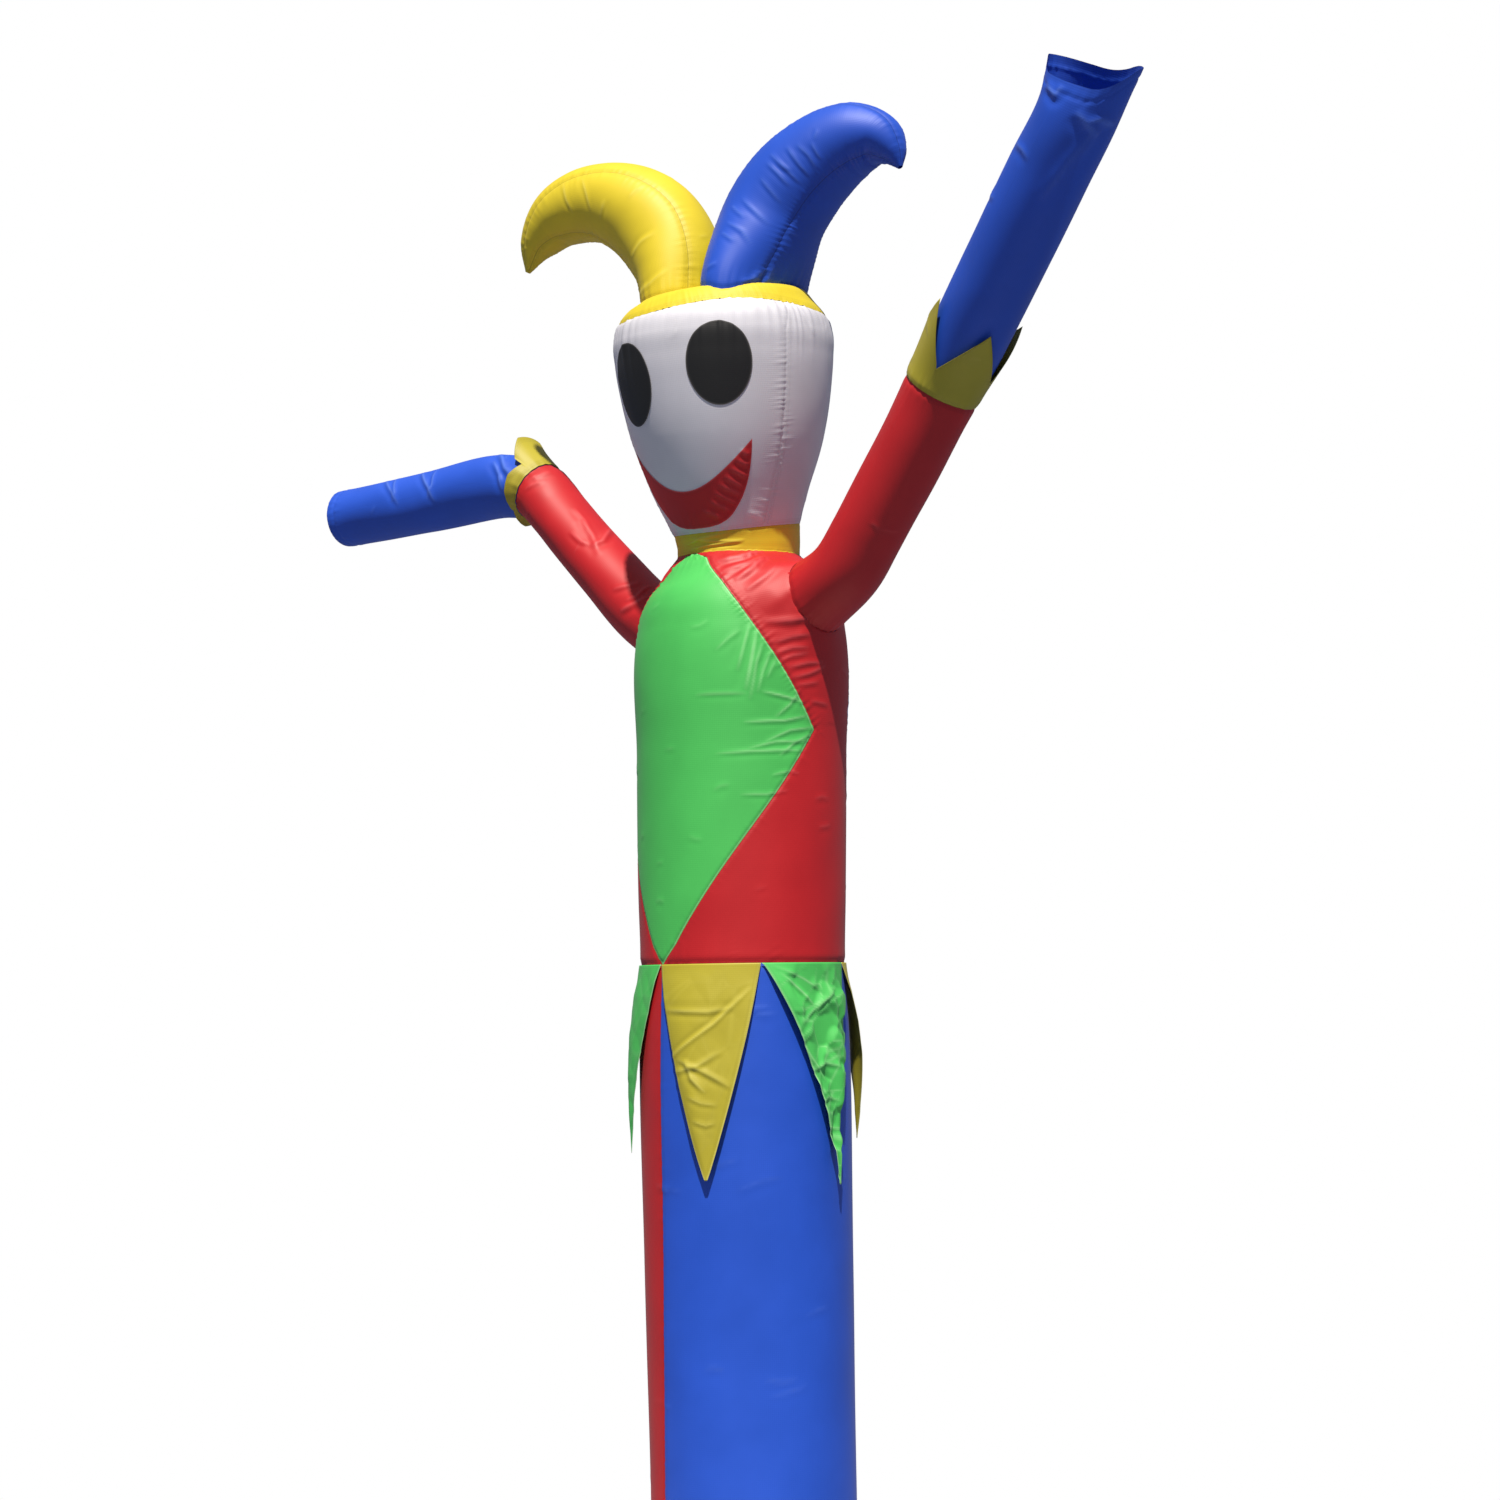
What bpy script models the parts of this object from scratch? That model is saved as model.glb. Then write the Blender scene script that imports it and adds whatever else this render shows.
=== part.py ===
"""Inflatable air dancer in a jester's shape, blown up, with one arm flung up and one bent out.

Metres, +Z up. The figure faces -Y and stands on the hem of its single leg at z = 0. The origin
is on the floor under the middle of the spread arms. Every cut piece of cloth is its own closed
sheet, and seams are left open by a hair so that neighbours never touch.
"""

import math
from collections import namedtuple

import bmesh
import bpy
import numpy as np
from mathutils import Vector

# Driving dimensions
WAIST = 1.65            # seam between leg and torso
COLLAR_FOOT = 2.54      # seam between torso and collar
COLLAR_TOP = 2.60       # seam between collar and head, along the bent neck
CROWN = 3.08            # seam between head and cap, along the neck and head
FACE_TURN = 15.0        # the face looks this far to the figure's left of -Y

BODY_WALL = 0.003       # thickness of the leg, torso, neck, head and cap panels
LIMB_WALL = 0.002       # thickness of the sleeves, forearms and horn gores
TRIM_WALL = 0.0015      # thickness of the flags and cuffs
PATCH_WALL = 0.001      # thickness of the eyes and the mouth
PATCH_CLEAR = 0.0009    # between the head's cloth and the eyes and mouth on it
GAP = 0.0003            # between other pieces that lie on one another
SEAM = 0.00025          # each sewn edge stops this far short of its seam line

BODY_STEP = 10.0        # degrees between the columns of the leg, neck and head
LIMB_SIDES = 16         # columns round a sleeve or forearm
HORN_COLUMNS = (6, 4, 6, 4)  # columns across a horn's front, left, back and right gore
SMOOTH_BELOW = 35.0     # edges sharper than this many degrees stay sharp
NUDGE = 0.0005          # step along a tube for its direction there
TURN_NUDGE = 0.5        # degrees, the same step round it

# From the middle of the foot to the origin, which is under the middle of the outline
FOOT_TO_ORIGIN = Vector((0.0596, 0.044, 0.0))

Section = namedtuple("Section", "at x y z wide deep turn")
Bend = namedtuple("Bend", "at x y z wide deep")
Curl = namedtuple("Curl", "at out z wide deep")
CuffPoint = namedtuple("CuffPoint", "notch length notch_stand tip_stand blunt")
Flag = namedtuple("Flag", "colour length drift swing fold folds taper")

# The trunk, from the hem up: the middle of the cross-section, its radius, and how far the
# front seam is turned from -Y. It leans a little, twists, and nods forward from the neck up.
TRUNK_ROUND = [
    # height, x, y, radius, turn
    (0.00, 0.014, 0.014, 0.216, -17.0),
    (0.05, 0.014, 0.014, 0.216, -16.5),
    (0.52, 0.006, 0.006, 0.218, -12.5),
    (1.02, -0.001, -0.001, 0.223, -8.5),
    (1.50, -0.009, -0.009, 0.226, -5.5),
    (1.65, -0.011, -0.011, 0.2205, -5.0),
    (1.80, -0.012, -0.012, 0.2235, -2.2),
    (2.10, -0.013, -0.013, 0.228, 3.4),
    (2.36, -0.015, -0.013, 0.227, 2.2),
    (2.42, -0.016, -0.013, 0.214, 1.6),
    (2.46, -0.017, -0.013, 0.194, 1.4),
    (2.50, -0.019, -0.014, 0.166, 1.2),
    (2.54, -0.020, -0.015, 0.1355, 1.2),
    (2.57, -0.018, -0.0175, 0.135, 8.0),
    (2.60, -0.0165, -0.023, 0.139, 14.5),
    (2.65, -0.014, -0.034, 0.158, FACE_TURN),
    (2.70, -0.012, -0.044, 0.178, FACE_TURN),
    (2.80, -0.006, -0.060, 0.2115, FACE_TURN),
    (2.90, 0.000, -0.074, 0.2315, FACE_TURN),
    (2.96, 0.0035, -0.082, 0.2385, FACE_TURN),
    (3.01, 0.0065, -0.088, 0.239, FACE_TURN),
    (3.05, 0.009, -0.093, 0.226, FACE_TURN),
    (3.08, 0.011, -0.097, 0.200, FACE_TURN),
]

# The crown closes over the head, nearly flat: distance along the cloth, height, radius
CROWN_DOME = [
    (3.110, 3.097, 0.177),
    (3.150, 3.106, 0.138),
    (3.205, 3.112, 0.084),
    (3.285, 3.116, 0.004),
]
CROWN_X = 0.012         # the middle between the two horns
CROWN_Y = -0.099
CROWN_LEAN_X = 0.02     # the crown goes on along the nodding head: shift for each metre of rise
CROWN_LEAN_Y = -0.13

# The seam between head and cap sags below CROWN, most under the outer sides of the horns
CAP_SAG = 0.010
CAP_SAG_SIDES = 0.0125
CAP_SAG_TURN = 38.0     # where it sags least
CAP_SAG_ROWS = [(3.00, 0.0), (CROWN, 1.0), (3.15, 0.0)]

# The raised arm, on the figure's left, from inside the shoulder to the open hand
ARM_LEFT = [
    Bend(0.00, 0.110, -0.010, 2.380, 0.080, 0.083),
    Bend(0.10, 0.205, -0.010, 2.424, 0.079, 0.082),
    Bend(0.21, 0.299, -0.010, 2.476, 0.0755, 0.080),
    Bend(0.30, 0.355, -0.010, 2.541, 0.074, 0.079),
    Bend(0.37, 0.399, -0.010, 2.598, 0.0745, 0.078),
    Bend(0.51, 0.487, -0.010, 2.711, 0.0765, 0.078),
    Bend(0.64, 0.566, -0.013, 2.812, 0.079, 0.079),
    Bend(0.89, 0.742, -0.058, 2.986, 0.082, 0.080),
    Bend(1.14, 0.917, -0.105, 3.159, 0.0845, 0.077),
    Bend(1.27, 1.0085, -0.130, 3.2515, 0.087, 0.070),
    Bend(1.39, 1.073, -0.150, 3.355, 0.119, 0.043),
]
# The raised hand's open rim dips towards the front: how far it reaches, by degrees round the arm
HAND_RIM_LEFT = [(0.0, 1.318), (45.0, 1.320), (67.5, 1.344), (90.0, 1.378), (135.0, 1.378),
                 (157.5, 1.360), (180.0, 1.350), (292.5, 1.348), (315.0, 1.320), (360.0, 1.318)]
HAND_RIM_RIGHT = [(0.0, 1.35), (360.0, 1.35)]

# The bent arm, on the figure's right
ARM_RIGHT = [
    Bend(0.00, -0.120, -0.012, 2.338, 0.081, 0.084),
    Bend(0.11, -0.215, -0.016, 2.391, 0.080, 0.084),
    Bend(0.21, -0.300, -0.022, 2.442, 0.077, 0.083),
    Bend(0.37, -0.420, -0.034, 2.549, 0.070, 0.080),
    Bend(0.53, -0.530, -0.045, 2.656, 0.067, 0.078),
    Bend(0.61, -0.582, -0.051, 2.710, 0.066, 0.078),
    Bend(0.70, -0.645, -0.061, 2.773, 0.070, 0.077),
    Bend(0.80, -0.730, -0.075, 2.796, 0.0755, 0.0755),
    Bend(1.07, -0.996, -0.122, 2.790, 0.0735, 0.0735),
    Bend(1.35, -1.272, -0.172, 2.781, 0.0705, 0.071),
]
ELBOW_LEFT = 0.64       # seam between sleeve and forearm, along each arm
ELBOW_RIGHT = 0.70
ELBOW_BAND = 0.06       # the forearm's first row past its seam
ARMHOLE_REACH = 0.35    # the sleeve is through the torso's side before this

# The four points of each cuff: from the elbow seam to the notch before the point, from there
# to its tip, how far notch and tip stand off the forearm, and how blunt the point is
CUFF_LEFT = [
    CuffPoint(0.066, 0.120, 0.004, 0.010, 1.0),
    CuffPoint(0.070, 0.108, 0.004, 0.016, 1.0),
    CuffPoint(0.070, 0.112, 0.005, 0.012, 1.0),
    CuffPoint(0.070, 0.120, 0.004, 0.010, 1.0),
]
CUFF_LEFT_TURN = 22.5
CUFF_RIGHT = [
    CuffPoint(0.045, 0.020, 0.012, 0.043, 1.8),
    CuffPoint(0.030, 0.025, 0.010, 0.030, 1.4),
    CuffPoint(0.014, 0.016, 0.004, 0.018, 1.0),
    CuffPoint(0.022, 0.010, 0.006, 0.016, 1.4),
]
CUFF_RIGHT_TURN = 45.0
CUFF_ROWS = [0.0, 0.25, 0.6, 1.0]

# The horns curl away from the middle of the crown, in the plane of the shoulders
HORN_BLUE = [
    Curl(0.000, 0.076, 3.040, 0.084, 0.171),
    Curl(0.070, 0.082, 3.110, 0.089, 0.166),
    Curl(0.150, 0.105, 3.190, 0.102, 0.142),
    Curl(0.235, 0.138, 3.269, 0.109, 0.117),
    Curl(0.305, 0.185, 3.325, 0.106, 0.110),
    Curl(0.365, 0.232, 3.361, 0.099, 0.102),
    Curl(0.425, 0.284, 3.387, 0.090, 0.093),
    Curl(0.490, 0.342, 3.397, 0.076, 0.080),
    Curl(0.545, 0.389, 3.386, 0.056, 0.061),
    Curl(0.595, 0.418, 3.357, 0.034, 0.038),
    Curl(0.650, 0.437, 3.318, 0.005, 0.005),
]
HORN_YELLOW = [
    Curl(0.000, 0.092, 3.040, 0.080, 0.120),
    Curl(0.070, 0.097, 3.110, 0.086, 0.120),
    Curl(0.145, 0.107, 3.180, 0.097, 0.114),
    Curl(0.215, 0.132, 3.238, 0.105, 0.107),
    Curl(0.290, 0.175, 3.294, 0.106, 0.104),
    Curl(0.360, 0.230, 3.336, 0.100, 0.101),
    Curl(0.435, 0.300, 3.364, 0.090, 0.091),
    Curl(0.505, 0.371, 3.368, 0.082, 0.083),
    Curl(0.580, 0.441, 3.346, 0.068, 0.068),
    Curl(0.645, 0.489, 3.301, 0.045, 0.045),
    Curl(0.725, 0.520, 3.236, 0.005, 0.005),
]
HORN_GORES = ("front", "left", "back", "right")
# The two edges of each horn's front gore, in degrees round the horn, by place along it. The
# back gore is its mirror image, and the other two fill the sides.
FRONT_GORE_BLUE = [(0.00, -56.0, 56.0), (0.65, -56.0, 54.0)]
FRONT_GORE_YELLOW = [(0.00, -60.0, 46.0), (0.25, -62.0, 46.0), (0.41, -68.0, 35.0),
                     (0.50, -64.0, 26.0), (0.58, -60.0, 20.0), (0.65, -46.0, 16.0)]

# Half the width of the torso's lozenges, in degrees round the body, by height
FRONT_LOZENGE = [(1.65, 0.5), (1.69, 10.0), (2.14, 84.0), (2.28, 62.0), (2.40, 42.5),
                 (2.455, 32.0), (2.515, 18.0), (2.54, 0.5)]
BACK_LOZENGE = [(1.65, 0.5), (2.20, 54.0), (2.31, 46.0), (2.40, 36.0), (2.455, 28.0),
                (2.515, 16.0), (2.54, 0.5)]
TORSO_ROWS = [1.65, 1.69, 1.78, 1.90, 2.02, 2.14, 2.23, 2.31, 2.37, 2.42, 2.455, 2.49, 2.515,
              2.54]
TORSO_CORE_ROWS = [2.15, 2.23, 2.31, 2.37, 2.42, 2.455, 2.49, 2.515, 2.54]
LEG_ROWS = [0.0, 0.3, 0.6, 0.9, 1.15, 1.35, 1.50, 1.58, 1.65]

# Half the width of the face panel, in degrees, by distance along the trunk
FACE_HALF = [(2.60, 55.0), (2.66, 60.0), (2.72, 63.5), (3.00, 64.0), (3.08, 69.0)]
HEAD_ROWS = [2.60, 2.66, 2.73, 2.80, 2.87, 2.94, 3.00, 3.035, 3.06, 3.08]
CROWN_CORE_ROWS = [2.97, 3.01, 3.04, 3.08, 3.095, 3.110, 3.150, 3.205, 3.285]

# Each eye's middle, in degrees from the middle of the face and in place along the trunk
EYES = (("eye_left", 27.3, 2.933), ("eye_right", -29.5, 2.909))
EYE_HALF_TURN = 17.2
EYE_HALF_HEIGHT = 0.085
EYE_END = 82.0          # the oval is cut short here, a little before its pole

MOUTH_TURN = -4.0       # the middle of the mouth
MOUTH_HALF_TURN = 48.0
MOUTH_END = 0.985       # the corners are cut short here, a little before their points
MOUTH_CORNER = 2.779
MOUTH_TOP = 2.688       # the upper edge in the middle
MOUTH_FOOT = 2.613      # the lower edge in the middle
MOUTH_JAW = 2.7         # how square the lower edge turns up

# Six flags round the waist, sixty degrees each, the first one just left of the front seam.
# drift is the tip's turn, swing how far the tip stands off, fold the depth of its waves.
FLAG_SPAN = 60.0
FLAG_INSET = 0.15       # degrees left free at each end of the seam
FLAG_TIP_HALF = 0.6     # half the width of the tip, in degrees
FLAG_CLEAR = 0.005      # between the leg and a flag's inner side, below the seam
FLAG_ROWS = [0.0, 0.08, 0.2, 0.34, 0.5, 0.66, 0.82, 1.0]
FLAG_DRIFT = 0.6        # a flag drifts soonest near its top: the power of the way down
FLAGS = [
    Flag("olive", 0.442, 2.0, 0.012, 0.006, 1.0, 0.90),
    Flag("green", 0.462, 15.0, 0.006, 0.006, 1.5, 1.30),
    Flag("olive", 0.380, 4.0, 0.010, 0.008, 1.0, 1.05),
    Flag("green", 0.450, -5.0, 0.015, 0.007, 1.5, 1.15),
    Flag("olive", 0.440, 6.0, 0.018, 0.008, 1.0, 1.10),
    Flag("green", 0.395, -3.0, 0.014, 0.006, 1.0, 1.15),
]

COLOURS = {
    "red": (0.72, 0.045, 0.060),
    "blue": (0.060, 0.160, 0.560),
    "green": (0.120, 0.640, 0.180),
    "yellow": (0.800, 0.640, 0.050),
    "olive": (0.500, 0.450, 0.060),
    "white": (0.740, 0.740, 0.800),
    "black": (0.012, 0.012, 0.014),
}
CLOTH_ROUGHNESS = 0.45


def by_table(table, at):
    """Value at a place in a short table of (place, value) rows, straight between rows."""
    places = [row[0] for row in table]
    values = [row[1] for row in table]
    return float(np.interp(at, places, values))


class Tube:
    """A round cloth tube through a table of cross-sections, smooth between its rows."""

    def __init__(self, sections, front=(0.0, -1.0, 0.0)):
        self.keys = np.array([row.at for row in sections])
        self.values = np.array([row[1:] for row in sections])
        self.slopes = np.gradient(self.values, self.keys, axis=0)
        self.front = Vector(front)

    def section(self, at):
        at = min(max(at, self.keys[0]), self.keys[-1])
        i = min(int(np.searchsorted(self.keys, at, side="right")) - 1, len(self.keys) - 2)
        span = self.keys[i + 1] - self.keys[i]
        t = (at - self.keys[i]) / span
        value = (2 * t**3 - 3 * t**2 + 1) * self.values[i]
        value = value + (t**3 - 2 * t**2 + t) * span * self.slopes[i]
        value = value + (3 * t**2 - 2 * t**3) * self.values[i + 1]
        return value + (t**3 - t**2) * span * self.slopes[i + 1]

    def frame(self, at):
        """The middle of the section, the directions to its side and front, and its sizes."""
        near = self.section(at - NUDGE)
        far = self.section(at + NUDGE)
        here = self.section(at)
        axis = Vector(far[:3] - near[:3]).normalized()
        front = (self.front - axis * self.front.dot(axis)).normalized()
        side = axis.cross(front)
        return Vector(here[:3]), side, front, here[3], here[4], here[5]

    def skin(self, at, turn):
        middle, side, front, wide, deep, twist = self.frame(at)
        angle = math.radians(turn + twist)
        return middle + side * (wide * math.sin(angle)) + front * (deep * math.cos(angle))

    def outward(self, at, turn):
        round_it = self.skin(at, turn + TURN_NUDGE) - self.skin(at, turn - TURN_NUDGE)
        along_it = self.skin(at + NUDGE, turn) - self.skin(at - NUDGE, turn)
        return round_it.cross(along_it).normalized()

    def level_outward(self, at, turn):
        """Outward in the plane of the section, so that a cut edge is flat."""
        _, side, front, wide, deep, twist = self.frame(at)
        angle = math.radians(turn + twist)
        return (side * (math.sin(angle) / wide) + front * (math.cos(angle) / deep)).normalized()

    def point(self, at, turn, lift, level=False):
        out = self.level_outward(at, turn) if level else self.outward(at, turn)
        return self.skin(at, turn) + out * lift + FOOT_TO_ORIGIN


def material(colour):
    """Coated nylon cloth in one of the dancer's colours."""
    known = bpy.data.materials.get(colour)
    if known:
        return known
    made = bpy.data.materials.new(colour)
    made.use_nodes = True
    shader = made.node_tree.nodes["Principled BSDF"]
    shader.inputs["Base Color"].default_value = (*COLOURS[colour], 1.0)
    shader.inputs["Roughness"].default_value = CLOTH_ROUGHNESS
    shader.inputs["Metallic"].default_value = 0.0
    made.diffuse_color = (*COLOURS[colour], 1.0)
    return made


def add_object(name, points, faces, colour=None):
    mesh = bpy.data.meshes.new(name)
    mesh.from_pydata(points, [], faces)
    work = bmesh.new()
    work.from_mesh(mesh)
    bmesh.ops.recalc_face_normals(work, faces=work.faces)
    work.to_mesh(mesh)
    work.free()
    mesh.shade_smooth()
    mesh.set_sharp_from_angle(angle=math.radians(SMOOTH_BELOW))
    made = bpy.data.objects.new(name, mesh)
    bpy.context.scene.collection.objects.link(made)
    if colour:
        mesh.materials.append(material(colour))
    return made


def grid_faces(rows, columns, ring, first, back_first):
    """Faces of a sheet with an outer grid from point first and an inner one from back_first.

    Both start each face at the same corner, so that both fold along the same diagonal.
    """
    faces = []
    reach = columns if ring else columns - 1
    for r in range(rows - 1):
        for c in range(reach):
            d = (c + 1) % columns
            quad = (r * columns + c, r * columns + d, (r + 1) * columns + d, (r + 1) * columns + c)
            faces.append(tuple(first + k for k in quad))
            faces.append(tuple(back_first + quad[k] for k in (0, 3, 2, 1)))
    return faces


def edge_faces(line, back_line):
    """Faces that join the outer and the inner sheet along one edge."""
    pairs = zip(line[:-1], line[1:], back_line[:-1], back_line[1:])
    return [(a, b, back_b, back_a) for a, b, back_a, back_b in pairs]


def sheet(name, tube, rows, columns, place, wall, colour, ring=False, peak=False, level=(True, True)):
    """A sheet of cloth on a tube. place(across, row) gives its at, turn and lift there.

    ring joins the last column to the first, peak closes the far end over to a point, and level
    says which ends are cut flat across the tube.
    """
    count = columns if ring else columns + 1
    points = []
    for half in (wall / 2, -wall / 2):
        for r, row in enumerate(rows):
            flat = (r == 0 and level[0]) or (r == len(rows) - 1 and level[1])
            for c in range(count):
                at, turn, lift = place(c / columns, row)
                points.append(tube.point(at, turn, lift + half, flat))
    total = len(rows) * count
    faces = grid_faces(len(rows), count, ring, 0, total)
    foot = list(range(count)) + ([0] if ring else [])
    top = [total - count + k for k in foot]
    faces += edge_faces(foot, [total + k for k in foot])
    if peak:
        middle, side, front = tube.frame(tube.keys[-1])[:3]
        along = front.cross(side)
        for half, line in ((wall / 2, top), (-wall / 2, [total + k for k in top])):
            points.append(middle + along * half + FOOT_TO_ORIGIN)
            faces += [(a, b, len(points) - 1) for a, b in zip(line[:-1], line[1:])]
    else:
        faces += edge_faces(top, [total + k for k in top])
    if not ring:
        for column in (0, count - 1):
            line = [r * count + column for r in range(len(rows))]
            faces += edge_faces(line, [total + k for k in line])
    return add_object(name, points, faces, colour)


def evenly(sides):
    """The turns of columns that are evenly spaced round a tube, the same at any place."""
    return lambda at: [360.0 * c / sides for c in range(sides)]


def plug(name, tube, rows, turns, lift):
    """A closed solid that fills a tube, used only to cut with. turns(at) places its columns."""
    points = []
    sides = len(turns(rows[0]))
    for row in rows:
        for turn in turns(row):
            points.append(tube.point(row, turn, lift, True))
    faces = []
    for r in range(len(rows) - 1):
        for c in range(sides):
            d = (c + 1) % sides
            faces.append((r * sides + c, r * sides + d, (r + 1) * sides + d, (r + 1) * sides + c))
    faces.append(tuple(reversed(range(sides))))
    faces.append(tuple((len(rows) - 1) * sides + c for c in range(sides)))
    made = add_object(name, points, faces)
    made.hide_render = True
    made.display_type = "WIRE"
    return made


def cut(piece, cutter):
    trim = piece.modifiers.new(cutter.name, "BOOLEAN")
    trim.operation = "DIFFERENCE"
    trim.solver = "EXACT"
    trim.object = cutter


def seam_turn(tube, at):
    """The angle that a sewn edge stops short of its seam line."""
    wide = tube.section(at)[3]
    return math.degrees(SEAM / wide)


def strip(name, tube, rows, columns, left, right, wall, colour, shifted=None):
    """A panel between two sewn edges, each given as degrees by place along the tube.

    shifted(at, turn) moves its rows along the tube.
    """

    def place(across, at):
        inset = seam_turn(tube, at)
        start = left(at) + inset
        end = right(at) - inset
        turn = start + (end - start) * across
        return shifted(at, turn) if shifted else at, turn, 0.0

    return sheet(name, tube, trimmed(rows), columns, place, wall, colour)


def trimmed(rows):
    """The same rows with both ends drawn back from their seams."""
    first = rows[0] if rows[0] == 0.0 else rows[0] + SEAM
    return [first, *rows[1:-1], rows[-1] - SEAM]


def trunk_tube():
    rows = []
    for height, x, y, radius, turn in TRUNK_ROUND:
        rows.append(Section(height, x, y, height, radius, radius, turn))
    for at, z, radius in CROWN_DOME:
        x = TRUNK_ROUND[-1][1] + CROWN_LEAN_X * (z - CROWN)
        y = TRUNK_ROUND[-1][2] + CROWN_LEAN_Y * (z - CROWN)
        rows.append(Section(at, x, y, z, radius, radius, FACE_TURN))
    return Tube(rows)


def limb_tube(bends):
    return Tube([Section(*bend, 0.0) for bend in bends])


def horn_tube(curls, side):
    """A horn on the figure's left (side 1) or right (side -1)."""
    turn = math.radians(FACE_TURN)
    rows = []
    for curl in curls:
        x = CROWN_X + side * curl.out * math.cos(turn)
        y = CROWN_Y + side * curl.out * math.sin(turn)
        rows.append(Section(curl.at, x, y, curl.z, curl.wide, curl.deep, 0.0))
    return Tube(rows, front=(math.sin(turn), -math.cos(turn), 0.0))


def make_leg(trunk):
    columns = round(180.0 / BODY_STEP)
    panels = (("leg_blue", 0.0, "blue"), ("leg_red", 180.0, "red"))
    for name, start, colour in panels:
        strip(name, trunk, LEG_ROWS, columns, lambda at, s=start: s,
              lambda at, s=start: s + 180.0, BODY_WALL, colour)


def make_flag(trunk, number, flag):
    """One pointed flag, sewn in at the waist and hanging free of the leg."""
    start = FLAG_SPAN * number
    hung = BODY_WALL / 2 + GAP + TRIM_WALL / 2

    def place(across, down):
        half = (FLAG_SPAN / 2 - FLAG_INSET) * (1.0 - down) ** flag.taper + FLAG_TIP_HALF * down
        middle = start + FLAG_SPAN / 2 + flag.drift * down**FLAG_DRIFT
        turn = middle + half * (2.0 * across - 1.0)
        clear = FLAG_CLEAR * min(1.0, 6.0 * down) + flag.swing * down**2
        wave = 1.0 + math.sin(2.0 * math.pi * flag.folds * across + number)
        fold = flag.fold * wave * math.sin(math.pi * down)
        return WAIST - SEAM - flag.length * down, turn, hung + clear + fold

    columns = round(FLAG_SPAN / BODY_STEP)
    sheet(f"waist_flag_{number + 1}", trunk, FLAG_ROWS, columns, place, TRIM_WALL, flag.colour)


def make_torso(trunk):
    """Two lozenges, front and back, and the two red panels between them with the armholes."""

    def front(at):
        return by_table(FRONT_LOZENGE, at)

    def back(at):
        return by_table(BACK_LOZENGE, at)

    strip("torso_front", trunk, TORSO_ROWS, 14, lambda at: -front(at), front, BODY_WALL, "green")
    strip("torso_back", trunk, TORSO_ROWS, 10, lambda at: 180.0 - back(at),
          lambda at: 180.0 + back(at), BODY_WALL, "blue")
    left = strip("torso_left", trunk, TORSO_ROWS, 13, front, lambda at: 180.0 - back(at),
                 BODY_WALL, "red")
    right = strip("torso_right", trunk, TORSO_ROWS, 13, lambda at: 180.0 + back(at),
                  lambda at: 360.0 - front(at), BODY_WALL, "red")
    return left, right


def make_collar(trunk):
    def place(across, at):
        return at, 360.0 * across, 0.0

    rows = trimmed([COLLAR_FOOT, (COLLAR_FOOT + COLLAR_TOP) / 2, COLLAR_TOP])
    sheet("collar", trunk, rows, round(360.0 / BODY_STEP), place, BODY_WALL, "yellow", ring=True)


def cap_sag(at, turn):
    """A place by the seam between head and cap, moved down with that seam."""
    least = 1.0 - math.cos(2.0 * math.radians(turn - CAP_SAG_TURN))
    return at - (CAP_SAG + CAP_SAG_SIDES * least) * by_table(CAP_SAG_ROWS, at)


def make_head(trunk):
    def half(at):
        return by_table(FACE_HALF, at)

    strip("head_face", trunk, HEAD_ROWS, 13, lambda at: -half(at), half, BODY_WALL, "white",
          cap_sag)
    strip("head_back_left", trunk, HEAD_ROWS, 11, half, lambda at: 180.0, BODY_WALL, "white",
          cap_sag)
    strip("head_back_right", trunk, HEAD_ROWS, 11, lambda at: 180.0, lambda at: 360.0 - half(at),
          BODY_WALL, "white", cap_sag)


def make_face(trunk):
    """The eyes and the mouth, sewn flat on the face."""
    lift = BODY_WALL / 2 + PATCH_CLEAR + PATCH_WALL / 2
    steps = 8
    for name, turn, middle in EYES:

        def eye(across, row, turn=turn, middle=middle):
            swing = math.radians(EYE_END * row)
            half = EYE_HALF_TURN * math.cos(swing)
            at = middle + EYE_HALF_HEIGHT * math.sin(swing)
            return at, turn + half * (2.0 * across - 1.0), lift

        rows = [2.0 * k / steps - 1.0 for k in range(steps + 1)]
        sheet(name, trunk, rows, steps, eye, PATCH_WALL, "black", level=(False, False))

    def mouth(across, row):
        part = math.sin(MOUTH_END * (2.0 * across - 1.0) * math.pi / 2.0)
        upper = MOUTH_TOP + (MOUTH_CORNER - MOUTH_TOP) * part**2
        rise = 1.0 - (1.0 - abs(part)**MOUTH_JAW) ** (1.0 / MOUTH_JAW)
        lower = MOUTH_FOOT + (MOUTH_CORNER - MOUTH_FOOT) * rise
        return lower + (upper - lower) * row, MOUTH_TURN + MOUTH_HALF_TURN * part, lift

    rows = [k / 4.0 for k in range(5)]
    sheet("mouth", trunk, rows, 22, mouth, PATCH_WALL, "red", level=(False, False))


def make_cap(trunk):
    def place(across, at):
        turn = 360.0 * across
        return cap_sag(at, turn), turn, 0.0

    ends = [row[0] for row in CROWN_DOME]
    rows = [CROWN + SEAM, *ends[:-1]]
    return sheet("cap", trunk, rows, round(360.0 / BODY_STEP), place, BODY_WALL, "yellow",
                 ring=True, peak=True, level=(True, False))


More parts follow.
